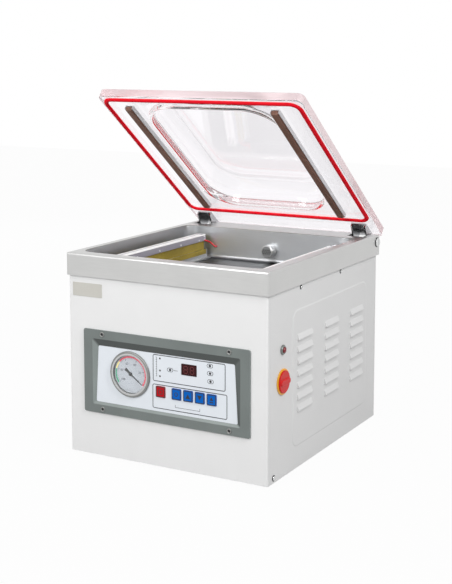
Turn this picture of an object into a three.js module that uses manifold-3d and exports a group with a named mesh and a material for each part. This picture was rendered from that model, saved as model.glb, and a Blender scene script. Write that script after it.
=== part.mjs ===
import * as THREE from 'three';
import { mergeVertices } from 'three/addons/utils/BufferGeometryUtils.js';
import Module from 'manifold-3d';

const wasm = await Module();
wasm.setup();

// A table-top vacuum chamber sealer: a painted cabinet, a stainless rim and tub, two lifting
// seal bars, and a clear domed lid that swings up at the rear.
// Millimetres, +Z up, the front faces -Y. Until the last lines, X counts from the middle of the
// machine, Y from the front of the rim and Z from the table.

// Clearances
const seatGap = 0.3;
const filmGap = 0.1;
const runningGap = 0.5;
const cutOverrun = 4;

// Cabinet
const bodyWidth = 467;
const bodyDepth = 540;
const bodyHeight = 377;
const sheetThickness = 1.5;
const cabinetFold = 10;
const foldRadius = 3;
const footHeight = 6;
const footRadius = 15;
const footTopRadius = 17;
const footInset = 42;
const panFlange = 28;
const panThickness = 2;

// Embossed field and louvres of the cabinet's sheets
const embossHeight = 1;
const embossSlope = 3;
const embossRadius = 22;
const embossFront = 110;
const embossRear = 57;
const embossBottom = 45;
const embossTop = 49;
const louvreLength = 68;
const louvreHeight = 13;
const louvreReach = 4;
const louvreLip = 2.5;
const louvreRows = 7;
const louvreColumns = 3;
const louvreFieldFront = 21;
const louvreFieldRear = 24.5;
const louvreFieldBottom = 73;
const louvreFieldTop = 50.6;
const rearLouvreColumns = 2;
const rearLouvreRows = 5;
const rearLouvreColumnPitch = 170;

// Rim
const rimOverhang = 4.5;
const rimRearOverhang = 9.5;
const rimHeight = 47.5;
const rimThickness = 2;
const rimEdgeRadius = 4;
const rimCornerRadius = 5;
const rimSkirt = 20;

// Chamber
const chamberSideLedge = 19;
const chamberRearLedge = 89;
const chamberFront = 24;
const chamberDepth = 75;
const chamberCorner = 27;
const tubThickness = 2;
const tubFillet = 9;
const tubFlange = 8;

// Suction port in the chamber's rear wall
const portSideways = 2.5;
const portDrop = 46;
const portRadius = 15;
const portReach = 20;
const portWall = 2;
const portStemRadius = 9;
const portStemBore = 6.5;
const portStemTail = 16;
const portHoleRadius = 1.3;
const portHolePitch = 4.6;
const portMiddleHoles = 5;

// Seal bars
const barInset = 45;
const barWidth = 24;
const barEndGap = 15;
const barHeight = 15;
const barWall = 3;
const barTopDrop = 17.3;
const stripWidth = 5;
const stripThickness = 0.6;
const stripTail = 8;
const channelBase = 44;
const channelWall = 3;
const channelHeight = 22;
const bagHeight = 8;
const leadRadius = 2;
const leadOutDrop = 16;
const leadExitInset = 7;
const leadReach = 20;
const leadSag = 15;

// Lid
const lidOpenDegrees = 36.7;
const lidGap = 5;
const lidThickness = 20;
const lidSideOverhang = 4;
const lidFrontInset = 3.4;
const lidRearInset = 1.2;
const lidCorner = 14;
const lidEdge = 1.5;
const domeSideGap = 14;
const domeRearGap = 24;
const domeFront = 53;
const domeCorner = 65;
const domeDepth = 50;
const domeWall = 8;
const domeSideSlope = 30;
const domeFrontSlope = 36;
const domeRearSlope = 48;

// Lid gasket and pressing pads
const gasketWidth = 10;
const gasketGroove = 3.5;
const gasketSideInset = 7;
const gasketFrontInset = 15;
const gasketRearBeyond = 14;
const gasketCorner = 20;
const gasketEdge = 1.2;
const padHolderWidth = 20;
const padHolderHeight = 9;
const padHolderWall = 2;
const padEndGap = 11.5;
const padProud = 3.2;

// Lid hinge
const pivotRadius = 17.5;
const shaftRadius = 6;
const shaftBore = 4.3;
const shaftBoreDepth = 14;
const pivotScrewHead = 10;
const pivotScrewHeadHeight = 4;
const pivotScrewShank = 4;
const pivotScrewLength = 12;
const pivotSlotWidth = 2.2;
const pivotSlotDepth = 1.6;
const bracketInset = 36;
const bracketWidth = 36;
const bracketFront = 44.5;
const bracketRear = 8.5;
const bracketWall = 3;
const bracketEye = 9;
const bracketToe = 5;
const cheekTurnShare = 2.4;
const bracketSlotGap = 2;
const bracketSlotFloor = 2;
const springWire = 3;
const springClearance = 1;
const springPitch = 4.2;
const springTurns = 7;
const springLeg = 26;
const springSetOff = 8;

// Control panel
const bezelWidth = 392;
const bezelHeight = 176;
const bezelBottom = 91.7;
const bezelSide = 21.5;
const bezelTop = 19;
const bezelFoot = 18;
const bezelThickness = 3;
const bezelCorner = 4;
const bezelLipCorner = 4;
const bezelTopSlope = 14;
const bezelFootSlope = 5.5;
const bezelSideSlopeTop = 13.5;
const bezelSideSlopeFoot = 7;
const bezelScrewRadius = 5.5;
const bezelScrewEnd = 46;
const bezelScrewInset = 8.8;
const bezelScrewDepth = 1.2;
const faceThickness = 2;
const faceLap = 3;

// Gauge
const gaugeSideways = -82.8;
const gaugeRise = 91.5;
const gaugeRingRadius = 48;
const gaugeRingHeight = 4;
const gaugeRingEdge = 1.5;
const gaugeCanRadius = 42;
const gaugeCanDepth = 32;
const gaugeWall = 1.5;
const gaugeDialRadius = 40;
const gaugeDialThickness = 1;
const gaugeDialDepth = 6;
const gaugeLedge = 3;
const gaugeGlassThickness = 1.5;
const gaugeGlassDepth = 1.2;
const pointerLength = 31;
const pointerTail = 16;
const pointerHub = 4;
const pointerTipWidth = 0.8;
const pointerRootWidth = 3;
const pointerTailWidth = 7;
const pointerThickness = 1;
const pointerPin = 1.2;
const pointerRestDegrees = -37;

// Keys, display and circuit board
const keyWidth = 22;
const keyHeight = 23;
const keyCorner = 2;
const keyProud = 1.6;
const keyStem = 3;
const keyTravel = 0.8;
const keyRise = 64.6;
const stopKeySideways = -9.8;
const firstKeySideways = 27.5;
const keyPitch = 27.1;
const displayWidth = 35.4;
const displayHeight = 22.8;
const displaySideways = 56.6;
const displayRise = 117.9;
const displayProud = 0.4;
const displayDepth = 6;
const boardLeft = -30;
const boardRight = 145;
const boardMargin = 6;
const boardThickness = 1.6;
const boardStandOff = 14;
const boardPostRadius = 3.5;
const boardPostInset = 7;
const tactSize = 9;
const tactHeight = 4;

// Main switch and lamp on the right side
const switchDepthwise = 66.5;
const switchRise = 195.5;
const switchRadius = 26;
const switchRing = 2.5;
const switchBoxSize = 38;
const switchBoxDepth = 34;
const switchNeck = 11;
const knobRadius = 23;
const knobHeight = 3;
const knobGripHeight = 3;
const knobGripWidth = 12;
const knobGripLength = 41;
const knobEdge = 1.2;
const knobStem = 4;
const knobStemLength = 6;
const lampDepthwise = 66;
const lampRise = 259.5;
const lampRingRadius = 10;
const lampRingHeight = 4;
const lampBody = 7;
const lampBodyDepth = 22;
const lampLensRadius = 6;
const lampLensHeight = 5;

// Pump, motor, hose, valve, transformer and mains gland
const pumpSideways = -62;
const pumpWidth = 150;
const pumpHeight = 140;
const pumpSetBack = 8;
const pumpLength = 185;
const pumpCorner = 18;
const pumpFins = 7;
const pumpFinReach = 8;
const pumpFinThickness = 4;
const pumpPadHeight = 14;
const pumpPadWidth = 34;
const pumpDomeRadius = 30;
const pumpDomeHeight = 34;
const inletRadius = 14;
const inletHeight = 22;
const motorRadius = 62;
const motorFront = 96;
const motorCowl = 34;
const motorFins = 16;
const motorFinReach = 5;
const motorFinThickness = 3;
const motorPadWidth = 22;
const motorPadShare = 0.8;
const motorBoxWidth = 60;
const motorBoxLength = 70;
const motorBoxHeight = 26;
const motorShaftRadius = 12;
const valveSize = 42;
const valveHeight = 36;
const valveCoilRadius = 18;
const valveCoilHeight = 46;
const valveStubHeight = 10;
const valveSpigotLength = 16;
const hoseWall = 3;
const hoseBend = 34;
const hoseLead = 10;
const transformerInset = 117;
const transformerDepthwise = 330;
const transformerWidth = 96;
const transformerDepth = 60;
const transformerHeight = 84;
const transformerYoke = 18;
const transformerCoilReach = 16;
const transformerFoot = 14;
const glandInset = 83.5;
const glandRise = 62;
const glandHexRadius = 13;
const glandHexHeight = 6;
const glandDomeRadius = 10;
const glandDomeHeight = 12;
const glandThread = 8;
const glandBore = 4;
const glandTail = 14;

// Facet counts
const roundSides = 32;
const smallSides = 14;
const tinySides = 8;
const hexSides = 6;
const cornerSteps = 4;
const filletSteps = 3;
const domeSteps = 7;
const domeCornerSteps = 6;
const springSteps = 8;
const wireSides = 5;
const hoseSides = 10;
const hoseSteps = 22;
const leadSides = 8;
const leadSteps = 14;

// Places worked out from the sizes above
const quarter = Math.PI / 2;
const lidOpenAngle = THREE.MathUtils.degToRad(lidOpenDegrees);
const pointerRestAngle = THREE.MathUtils.degToRad(pointerRestDegrees);
const bodyBottom = footHeight + seatGap;
const bodyTop = bodyBottom + bodyHeight;
const bodyFront = rimOverhang;
const bodyRear = bodyFront + bodyDepth;
const panelTop = bodyTop - seatGap;
const embossStart = embossFront - bodyFront;
const embossEnd = bodyDepth - embossRear;
const embossCrest = bodyHeight - embossTop;
const louvreStart = embossStart + louvreFieldFront;
const louvreEnd = embossEnd - louvreFieldRear;
const louvreBottom = embossBottom + louvreFieldBottom;
const louvreCrest = embossCrest - louvreFieldTop;
const louvrePitch = (louvreCrest - louvreBottom - louvreHeight) / (louvreRows - 1);
const louvreColumnPitch = (louvreEnd - louvreStart - louvreLength) / (louvreColumns - 1);
const rimWidth = bodyWidth + 2 * rimOverhang;
const rimDepth = bodyDepth + rimOverhang + rimRearOverhang;
const rimTop = bodyTop + rimHeight;
const rimUnder = rimTop - rimThickness;
const panTop = bodyBottom + panThickness;
const chamberWidth = rimWidth - 2 * chamberSideLedge;
const chamberLength = rimDepth - chamberFront - chamberRearLedge;
const chamberMiddle = chamberFront + chamberLength / 2;
const chamberRear = chamberFront + chamberLength;
const chamberFloor = rimTop - chamberDepth;
const portHeight = rimTop - portDrop;
const pivotY = rimDepth - pivotRadius;
const pivotZ = rimTop - pivotRadius;
const lidUnder = rimTop + lidGap;
const lidWidth = rimWidth + 2 * lidSideOverhang;
const lidRear = rimDepth - lidRearInset;
const bodyInside = bodyWidth / 2 - sheetThickness;
const bracketSpacing = rimWidth - 2 * bracketInset;
const transformerSideways = bodyInside - transformerInset;
const glandSideways = bodyWidth / 2 - glandInset;
const barSpacing = chamberWidth - 2 * barInset;
const barLength = chamberLength - 2 * barEndGap;
const padLength = chamberLength - 2 * padEndGap;
const domeWidth = barSpacing - padHolderWidth - 2 * domeSideGap;
const domeLength = chamberRear - domeRearGap - domeFront;
const barTop = rimTop - barTopDrop;
const boardWidth = barWidth - 2 * barWall - 2 * seatGap;
const channelInside = boardWidth + 2 * runningGap;
const channelFloor = chamberFloor + seatGap + channelWall;
const bagTop = channelFloor + seatGap + bagHeight;
const padFace = lidUnder - seatGap - padHolderHeight - padProud;
const bezelFront = bodyFront - seatGap - bezelThickness;
const bezelBack = bezelFront + bezelThickness;
const faceFront = bezelBack + seatGap;
const faceBack = faceFront + faceThickness;
const panelBase = bodyBottom + bezelBottom;
const lipWidth = bezelWidth - 2 * bezelSide;
const lipHeight = bezelHeight - bezelTop - bezelFoot;
const lipBottom = panelBase + bezelFoot;
const lipMiddle = lipBottom + lipHeight / 2;
const switchFace = bodyWidth / 2 + seatGap;

// Finishes
const finish = (color, roughness, metalness, opacity = 1) => new THREE.MeshStandardMaterial({
  color,
  roughness,
  metalness,
  opacity,
  transparent: opacity < 1,
});
const cabinetPaint = finish(0xe6e6e4, 0.55, 0);
const stainless = finish(0xc4c5c4, 0.35, 1);
const polishedSteel = finish(0xd5d6d6, 0.15, 1);
const springSteel = finish(0x8d8f90, 0.35, 1);
const aluminium = finish(0xc9cacb, 0.4, 1);
const clearAcrylic = finish(0xf4f1f4, 0.08, 0, 0.35);
const redSilicone = finish(0xdc0a23, 0.5, 0);
const brownSilicone = finish(0x5f4b41, 0.7, 0);
const yellowBoard = finish(0x96822f, 0.6, 0);
const nichrome = finish(0xb9bbbd, 0.3, 1);
const greySilicone = finish(0xb9b9b4, 0.7, 0);
const redLead = finish(0xb4142d, 0.5, 0);
const greyPlastic = finish(0x767e7c, 0.5, 0);
const faceWhite = finish(0xeef1f5, 0.4, 0);
const dialWhite = finish(0xf6f6f4, 0.5, 0);
const pointerBlack = finish(0x151515, 0.5, 0);
const clearGlass = finish(0xffffff, 0.05, 0, 0.2);
const redKey = finish(0xc8283c, 0.4, 0);
const blueKey = finish(0x005abe, 0.4, 0);
const darkRed = finish(0x5a1419, 0.2, 0);
const boardGreen = finish(0x1f6b42, 0.5, 0);
const switchYellow = finish(0xf5b432, 0.4, 0);
const switchRed = finish(0xe11e14, 0.35, 0);
const blackRubber = finish(0x1c1c1c, 0.8, 0);
const castGrey = finish(0x7d858a, 0.55, 0.3);
const motorBlue = finish(0x3f4a52, 0.5, 0.2);
const coreSteel = finish(0x54504c, 0.5, 0.8);
const brassMetal = finish(0xb08d3c, 0.3, 1);

// Solids: closed meshes that face out, joined and cut as needed
function welded(geometry) {
  const bare = geometry.clone();
  bare.deleteAttribute('normal');
  bare.deleteAttribute('uv');
  const merged = mergeVertices(bare);
  const kept = [];
  for (let i = 0; i < merged.index.count; i += 3) {
    const [a, b, c] = [0, 1, 2].map((k) => merged.index.getX(i + k));
    if (a !== b && b !== c && c !== a) {
      kept.push(a, b, c);
    }
  }
  merged.setIndex(kept);
  return facingOut(merged);
}

function signedVolume(geometry) {
  const corners = [new THREE.Vector3(), new THREE.Vector3(), new THREE.Vector3()];
  let sum = 0;
  for (let i = 0; i < geometry.index.count; i += 3) {
    corners.forEach((corner, k) => {
      corner.fromBufferAttribute(geometry.attributes.position, geometry.index.getX(i + k));
    });
    sum += corners[0].dot(corners[1].clone().cross(corners[2]));
  }
  return sum;
}

function facingOut(geometry) {
  if (signedVolume(geometry) < 0) {
    const flipped = [];
    for (let i = 0; i < geometry.index.count; i += 3) {
      flipped.push(...[0, 2, 1].map((k) => geometry.index.getX(i + k)));
    }
    geometry.setIndex(flipped);
  }
  return geometry;
}

function toSolid(geometry) {
  const closed = welded(geometry);
  return new wasm.Manifold(new wasm.Mesh({
    numProp: 3,
    vertProperties: new Float32Array(closed.attributes.position.array),
    triVerts: new Uint32Array(closed.index.array),
  }));
}

function fromSolid(solid) {
  const mesh = solid.getMesh();
  const geometry = new THREE.BufferGeometry();
  geometry.setAttribute('position', new THREE.BufferAttribute(mesh.vertProperties, 3));
  geometry.setIndex(new THREE.BufferAttribute(mesh.triVerts, 1));
  return geometry;
}

const cut = (base, ...tools) => (
  fromSolid(tools.reduce((solid, tool) => solid.subtract(toSolid(tool)), toSolid(base)))
);
const join = (first, ...others) => (
  fromSolid(others.reduce((solid, other) => solid.add(toSolid(other)), toSolid(first)))
);
const common = (first, ...others) => (
  fromSolid(others.reduce((solid, other) => solid.intersect(toSolid(other)), toSolid(first)))
);

// Outlines are lists of points, drawn anticlockwise
function arcPoints(u, v, radius, from, to, steps) {
  const points = [];
  for (let i = 0; i <= steps; i += 1) {
    const angle = from + (to - from) * (i / steps);
    points.push(new THREE.Vector2(u + radius * Math.cos(angle), v + radius * Math.sin(angle)));
  }
  return points;
}

function circle(radius, sides, u = 0, v = 0) {
  return arcPoints(u, v, radius, 0, 4 * quarter, sides).slice(0, -1);
}

function roundedRect(width, height, radius, u = 0, v = 0, steps = cornerSteps) {
  const right = width / 2 - radius;
  const up = height / 2 - radius;
  return [
    ...arcPoints(u + right, v - up, radius, -quarter, 0, steps),
    ...arcPoints(u + right, v + up, radius, 0, quarter, steps),
    ...arcPoints(u - right, v + up, radius, quarter, 2 * quarter, steps),
    ...arcPoints(u - right, v - up, radius, 2 * quarter, 3 * quarter, steps),
  ];
}

const outlineOf = (pairs) => pairs.map(([u, v]) => new THREE.Vector2(u, v));

// Prisms: lying ones rise along Z, standing ones run back along Y, sideways ones run along X
const standingAxes = new THREE.Matrix4().makeBasis(
  new THREE.Vector3(1, 0, 0),
  new THREE.Vector3(0, 0, 1),
  new THREE.Vector3(0, -1, 0),
);
const sidewaysAxes = new THREE.Matrix4().makeBasis(
  new THREE.Vector3(0, 1, 0),
  new THREE.Vector3(0, 0, 1),
  new THREE.Vector3(1, 0, 0),
);

function prism(outline, depth, holes) {
  const shape = new THREE.Shape(outline);
  shape.holes = holes.map((hole) => new THREE.Path(hole));
  return new THREE.ExtrudeGeometry(shape, { depth, bevelEnabled: false });
}

const lying = (outline, z0, z1, holes = []) => (
  prism(outline, z1 - z0, holes).translate(0, 0, z0)
);
const standing = (outline, y0, y1, holes = []) => (
  prism(outline, y1 - y0, holes).applyMatrix4(standingAxes).translate(0, y1, 0)
);
const sideways = (outline, x0, x1, holes = []) => (
  prism(outline, x1 - x0, holes).applyMatrix4(sidewaysAxes).translate(x0, 0, 0)
);

function cuboid(x0, x1, y0, y1, z0, z1) {
  const box = new THREE.BoxGeometry(x1 - x0, y1 - y0, z1 - z0);
  return box.translate((x0 + x1) / 2, (y0 + y1) / 2, (z0 + z1) / 2);
}

// Turned pieces: [radius, height] pairs about +Z, then aimed
function turned(profile, sides = roundSides) {
  const points = outlineOf(profile);
  return new THREE.LatheGeometry(points, sides).rotateX(quarter);
}

const aimedBack = (geometry) => geometry.rotateX(-quarter);
const aimedFront = (geometry) => geometry.rotateX(quarter);
const aimedRight = (geometry) => geometry.rotateY(quarter);

function rod(radius, length, sides = smallSides) {
  return turned([[0, 0], [radius, 0], [radius, length], [0, length]], sides);
}

// A skin through rings of equal count, closed by flat ends
function loft(rings) {
  const count = rings[0].length;
  const index = [];
  for (let i = 0; i + 1 < rings.length; i += 1) {
    for (let j = 0; j < count; j += 1) {
      const a = i * count + j;
      const b = i * count + ((j + 1) % count);
      index.push(a, b, b + count, a, b + count, a + count);
    }
  }
  const last = (rings.length - 1) * count;
  for (let j = 1; j + 1 < count; j += 1) {
    index.push(0, j + 1, j, last, last + j, last + j + 1);
  }
  const places = rings.flat().flatMap((point) => [point.x, point.y, point.z]);
  const geometry = new THREE.BufferGeometry();
  geometry.setAttribute('position', new THREE.Float32BufferAttribute(places, 3));
  geometry.setIndex(index);
  return geometry;
}

const raised = (outline, z) => outline.map((point) => new THREE.Vector3(point.x, point.y, z));

function tube(extrudePath, radius, sides, steps, bore = 0) {
  const shape = new THREE.Shape(circle(radius, sides));
  if (bore > 0) {
    shape.holes = [new THREE.Path(circle(bore, sides))];
  }
  return new THREE.ExtrudeGeometry(shape, { extrudePath, steps, bevelEnabled: false });
}

function addPiece(parent, name, geometry, material) {
  const piece = new THREE.Mesh(geometry, material);
  piece.name = name;
  parent.add(piece);
  return piece;
}

const machine = new THREE.Group();
const sides = [['left', -1], ['right', 1]];

// Feet and base pan
function foot() {
  return turned([
    [0, 0],
    [footRadius, 0],
    [footTopRadius, footHeight / 2],
    [footTopRadius, footHeight],
    [0, footHeight],
  ], smallSides);
}

function addFeet() {
  const ends = [['front', bodyFront + footInset], ['rear', bodyRear - footInset]];
  for (const [end, y] of ends) {
    for (const [side, sign] of sides) {
      const piece = addPiece(machine, `foot_${end}_${side}`, foot(), blackRubber);
      piece.position.set(sign * (bodyWidth / 2 - footInset), y, 0);
    }
  }
}

function basePan() {
  const halfWidth = bodyInside - seatGap;
  const front = bodyFront + sheetThickness + seatGap;
  const rear = bodyRear - sheetThickness - seatGap;
  const middle = (front + rear) / 2;
  const outline = roundedRect(2 * halfWidth, rear - front, foldRadius, 0, middle, filletSteps);
  const hollow = roundedRect(
    2 * (halfWidth - panThickness),
    rear - front - 2 * panThickness,
    foldRadius / 2,
    0,
    middle,
    filletSteps,
  );
  return cut(
    lying(outline, bodyBottom, bodyBottom + panFlange),
    lying(hollow, panTop, bodyBottom + panFlange + cutOverrun),
  );
}

// Cabinet sheets, drawn facing -Y with their outer face at y = 0
function foldedOutline(width) {
  const edge = width / 2;
  const centre = edge - foldRadius;
  const inner = foldRadius - sheetThickness;
  return [
    new THREE.Vector2(-edge, cabinetFold),
    ...arcPoints(-centre, foldRadius, foldRadius, 2 * quarter, 3 * quarter, filletSteps),
    ...arcPoints(centre, foldRadius, foldRadius, 3 * quarter, 4 * quarter, filletSteps),
    new THREE.Vector2(edge, cabinetFold),
    new THREE.Vector2(edge - sheetThickness, cabinetFold),
    ...arcPoints(centre, foldRadius, inner, 4 * quarter, 3 * quarter, filletSteps),
    ...arcPoints(-centre, foldRadius, inner, 3 * quarter, 2 * quarter, filletSteps),
    new THREE.Vector2(sheetThickness - edge, cabinetFold),
  ];
}

function louvreOutside(x, z, base) {
  const profile = outlineOf([
    [sheetThickness / 2 - base, 0],
    [sheetThickness / 2 - base, louvreHeight],
    [-base, louvreHeight],
    [-base - louvreReach, louvreLip],
    [-base - louvreReach, 0],
  ]);
  return sideways(profile, x, x + louvreLength).translate(0, 0, z);
}

function louvreInside(x, z, base) {
  const inner = louvreReach - sheetThickness;
  const innerTop = louvreHeight - sheetThickness;
  const profile = outlineOf([
    [sheetThickness + cutOverrun - base, innerTop],
    [-base, innerTop],
    [-base - inner, louvreLip],
    [-base - inner, -cutOverrun],
    [-base, -cutOverrun],
    [-base, 0],
    [sheetThickness + cutOverrun - base, 0],
  ]);
  return sideways(profile, x + sheetThickness, x + louvreLength - sheetThickness).translate(0, 0, z);
}

function louvrePlaces(columns, rows, columnPitch, x0, z0) {
  const places = [];
  for (let column = 0; column < columns; column += 1) {
    for (let row = 0; row < rows; row += 1) {
      places.push([x0 + column * columnPitch, z0 + row * louvrePitch]);
    }
  }
  return places;
}

function withLouvres(sheet, places, base) {
  const outside = places.map(([x, z]) => louvreOutside(x, z, base));
  const inside = places.map(([x, z]) => louvreInside(x, z, base));
  return cut(join(sheet, ...outside), ...inside);
}

function embossField(x0, x1, z0, z1, start, rise) {
  const ring = (inset, y) => (
    roundedRect(x1 - x0 - 2 * inset, z1 - z0 - 2 * inset, embossRadius - inset, (x0 + x1) / 2,
      (z0 + z1) / 2).map((point) => new THREE.Vector3(point.x, y, point.y))
  );
  return loft([ring(0, start), ring(0, 0), ring(embossSlope, -rise)]);
}

function sidePanel(isRight) {
  const length = bodyDepth - 2 * cabinetFold - 2 * seatGap;
  const start = cabinetFold + seatGap;
  const fromFront = (distance) => (isRight ? distance - start : length - distance + start);
  const limits = [fromFront(embossStart), fromFront(embossEnd)];
  const [x0, x1] = limits.sort((a, b) => a - b);
  const z0 = embossBottom;
  const z1 = embossCrest;
  const sheet = cuboid(0, length, 0, sheetThickness, 0, panelTop - bodyBottom);
  const raisedSheet = join(sheet, embossField(x0, x1, z0, z1, sheetThickness / 2, embossHeight));
  const pocket = embossField(
    x0, x1, z0, z1, cutOverrun, embossHeight,
  ).translate(0, sheetThickness, 0);
  const embossed = cut(raisedSheet, pocket);
  const places = louvrePlaces(
    louvreColumns,
    louvreRows,
    louvreColumnPitch,
    isRight ? fromFront(louvreStart) : fromFront(louvreEnd),
    louvreBottom,
  );
  const panel = withLouvres(embossed, places, embossHeight);
  if (!isRight) {
    return panel;
  }
  const switchX = fromFront(switchDepthwise - bodyFront);
  const lampX = fromFront(lampDepthwise - bodyFront);
  return cut(
    panel,
    standing(circle(switchNeck + runningGap, smallSides, switchX, switchRise), -cutOverrun, cutOverrun),
    standing(circle(lampBody + runningGap, smallSides, lampX, lampRise), -cutOverrun, cutOverrun),
  );
}

function addSidePanels() {
  const start = bodyFront + cabinetFold + seatGap;
  const length = bodyDepth - 2 * cabinetFold - 2 * seatGap;
  const right = addPiece(machine, 'right_side_panel', sidePanel(true), cabinetPaint);
  right.rotation.z = quarter;
  right.position.set(bodyWidth / 2, start, bodyBottom);
  const left = addPiece(machine, 'left_side_panel', sidePanel(false), cabinetPaint);
  left.rotation.z = -quarter;
  left.position.set(-bodyWidth / 2, start + length, bodyBottom);
}

function lipOutline(grow) {
  return roundedRect(
    lipWidth + 2 * grow, lipHeight + 2 * grow, bezelLipCorner + grow, 0, lipMiddle,
  );
}

function frontPanel() {
  const folded = lying(foldedOutline(bodyWidth), bodyBottom, panelTop).translate(0, bodyFront, 0);
  const faceRoom = lipOutline(faceLap + runningGap);
  return cut(folded, standing(faceRoom, bodyFront - cutOverrun, bodyFront + cutOverrun));
}

function rearPanel() {
  const folded = lying(foldedOutline(bodyWidth), 0, panelTop - bodyBottom);
  const span = (rearLouvreColumns - 1) * rearLouvreColumnPitch + louvreLength;
  const places = louvrePlaces(
    rearLouvreColumns,
    rearLouvreRows,
    rearLouvreColumnPitch,
    -span / 2,
    louvreBottom,
  );
  const glandRoom = circle(glandThread + runningGap, smallSides, -glandSideways, glandRise);
  return cut(withLouvres(folded, places, 0), standing(glandRoom, -cutOverrun, cutOverrun));
}

function addRearPanel() {
  const piece = addPiece(machine, 'rear_panel', rearPanel(), cabinetPaint);
  piece.rotation.z = 2 * quarter;
  piece.position.set(0, bodyRear, bodyBottom);
}

// Stainless rim: a shell with rounded edges, hemmed in under the cabinet's top edge
function rimBlock(inset, bottom) {
  const halfWidth = rimWidth / 2 - inset;
  const top = rimTop - inset;
  const edge = Math.max(rimEdgeRadius - inset, filmGap);
  const across = outlineOf([[-halfWidth, bottom], [halfWidth, bottom]]).concat(
    arcPoints(halfWidth - edge, top - edge, edge, 0, quarter, filletSteps),
    arcPoints(edge - halfWidth, top - edge, edge, quarter, 2 * quarter, filletSteps),
  );
  const along = outlineOf([[inset, bottom], [rimDepth - inset, bottom]]).concat(
    arcPoints(pivotY, pivotZ, pivotRadius - inset, 0, quarter, 2 * filletSteps),
    arcPoints(inset + edge, top - edge, edge, quarter, 2 * quarter, filletSteps),
  );
  const corner = Math.max(rimCornerRadius - inset, filmGap);
  const plan = roundedRect(
    2 * halfWidth, rimDepth - 2 * inset, corner, 0, rimDepth / 2, filletSteps,
  );
  return common(
    lying(plan, bottom, top),
    standing(across, inset, rimDepth - inset),
    sideways(along, -halfWidth, halfWidth),
  );
}

function skirtBlock(inset, z0, z1) {
  const halfWidth = bodyInside - seatGap - inset;
  const front = bodyFront + sheetThickness + seatGap + inset;
  const rear = bodyRear - sheetThickness - seatGap - inset;
  const corner = foldRadius - inset / 2;
  const plan = roundedRect(
    2 * halfWidth, rear - front, corner, 0, (front + rear) / 2, filletSteps,
  );
  return lying(plan, z0, z1);
}

function bracketRoom(sign) {
  const halfRoom = bracketWidth / 2 + bracketSlotGap;
  const centre = sign * bracketSpacing / 2;
  return cuboid(
    centre - halfRoom,
    centre + halfRoom,
    pivotY - bracketFront - bracketSlotGap,
    rimDepth + cutOverrun,
    pivotZ + bracketSlotFloor,
    rimTop + cutOverrun,
  );
}

function pivotHole() {
  const hole = circle(pivotScrewShank + seatGap, smallSides, pivotY, pivotZ);
  return sideways(hole, -rimWidth, rimWidth);
}

function topRim() {
  const shell = cut(rimBlock(0, bodyTop), rimBlock(rimThickness, bodyTop + rimThickness));
  const skirt = skirtBlock(0, bodyTop - rimSkirt, bodyTop + rimThickness);
  const inside = skirtBlock(rimThickness, bodyTop - rimSkirt - cutOverrun, bodyTop + 2 * rimThickness);
  const mouth = roundedRect(chamberWidth, chamberLength, chamberCorner, 0, chamberMiddle);
  return cut(
    join(shell, skirt),
    inside,
    lying(mouth, rimUnder - cutOverrun, rimTop + cutOverrun),
    bracketRoom(-1),
    bracketRoom(1),
    pivotHole(),
  );
}

// Chamber tub with a round fillet all along the floor
function tubForm(outset, top) {
  const fillet = tubFillet + outset;
  const floor = chamberFloor - outset;
  const ring = (inset, z) => raised(
    roundedRect(
      chamberWidth + 2 * (outset - inset),
      chamberLength + 2 * (outset - inset),
      chamberCorner + outset - inset,
      0,
      chamberMiddle,
    ),
    z,
  );
  const rings = [];
  for (let i = 0; i <= filletSteps; i += 1) {
    const angle = quarter * (i / filletSteps);
    rings.push(ring(fillet * (1 - Math.sin(angle)), floor + fillet * (1 - Math.cos(angle))));
  }
  rings.push(ring(0, top));
  return loft(rings);
}

function chamberTub() {
  const top = rimUnder - seatGap;
  const reach = tubThickness + tubFlange;
  const flange = roundedRect(
    chamberWidth + 2 * reach,
    chamberLength + 2 * reach,
    chamberCorner + reach,
    0,
    chamberMiddle,
  );
  const outer = join(tubForm(tubThickness, top), lying(flange, top - tubThickness, top));
  const portRoom = circle(portStemRadius + seatGap, smallSides, portSideways, portHeight);
  return cut(
    outer,
    tubForm(0, top + cutOverrun),
    standing(portRoom, chamberRear - cutOverrun, chamberRear + tubThickness + cutOverrun),
  );
}

// Suction port: a perforated cap whose hollow stem leaves through the tub's rear wall
function vacuumPort() {
  const tail = -seatGap - tubThickness - portStemTail;
  const cap = turned([
    [0, portReach],
    [portRadius - portWall, portReach],
    [portRadius, portReach - portWall],
    [portRadius, 0],
    [portStemRadius, 0],
    [portStemRadius, tail],
    [portStemBore, tail],
    [portStemBore, portWall],
    [portRadius - portWall, portWall],
    [portRadius - portWall, portReach - portWall],
    [0, portReach - portWall],
  ]);
  const holes = [];
  for (const row of [-1, 0, 1]) {
    const count = portMiddleHoles - Math.abs(row);
    const up = row * portHolePitch * Math.sin(2 * quarter / 3);
    for (let i = 0; i < count; i += 1) {
      const across = (i - (count - 1) / 2) * portHolePitch;
      const hole = rod(portHoleRadius, portReach, tinySides);
      holes.push(hole.translate(across, up, portReach - portWall - filmGap));
    }
  }
  return aimedFront(cut(cap, ...holes));
}

// Seal bars, drawn about the middle of the bar in X and Y
function barChannel() {
  const outer = channelInside / 2 + channelWall;
  const inner = channelInside / 2;
  const base = chamberFloor + seatGap;
  const top = base + channelHeight;
  const profile = outlineOf([
    [-channelBase / 2, base],
    [channelBase / 2, base],
    [channelBase / 2, channelFloor],
    [outer, channelFloor],
    [outer, top],
    [inner, top],
    [inner, channelFloor],
    [-inner, channelFloor],
    [-inner, top],
    [-outer, top],
    [-outer, channelFloor],
    [-channelBase / 2, channelFloor],
  ]);
  const half = (chamberLength - 2 * tubFillet) / 2 - runningGap;
  return standing(profile, -half, half);
}

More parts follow.
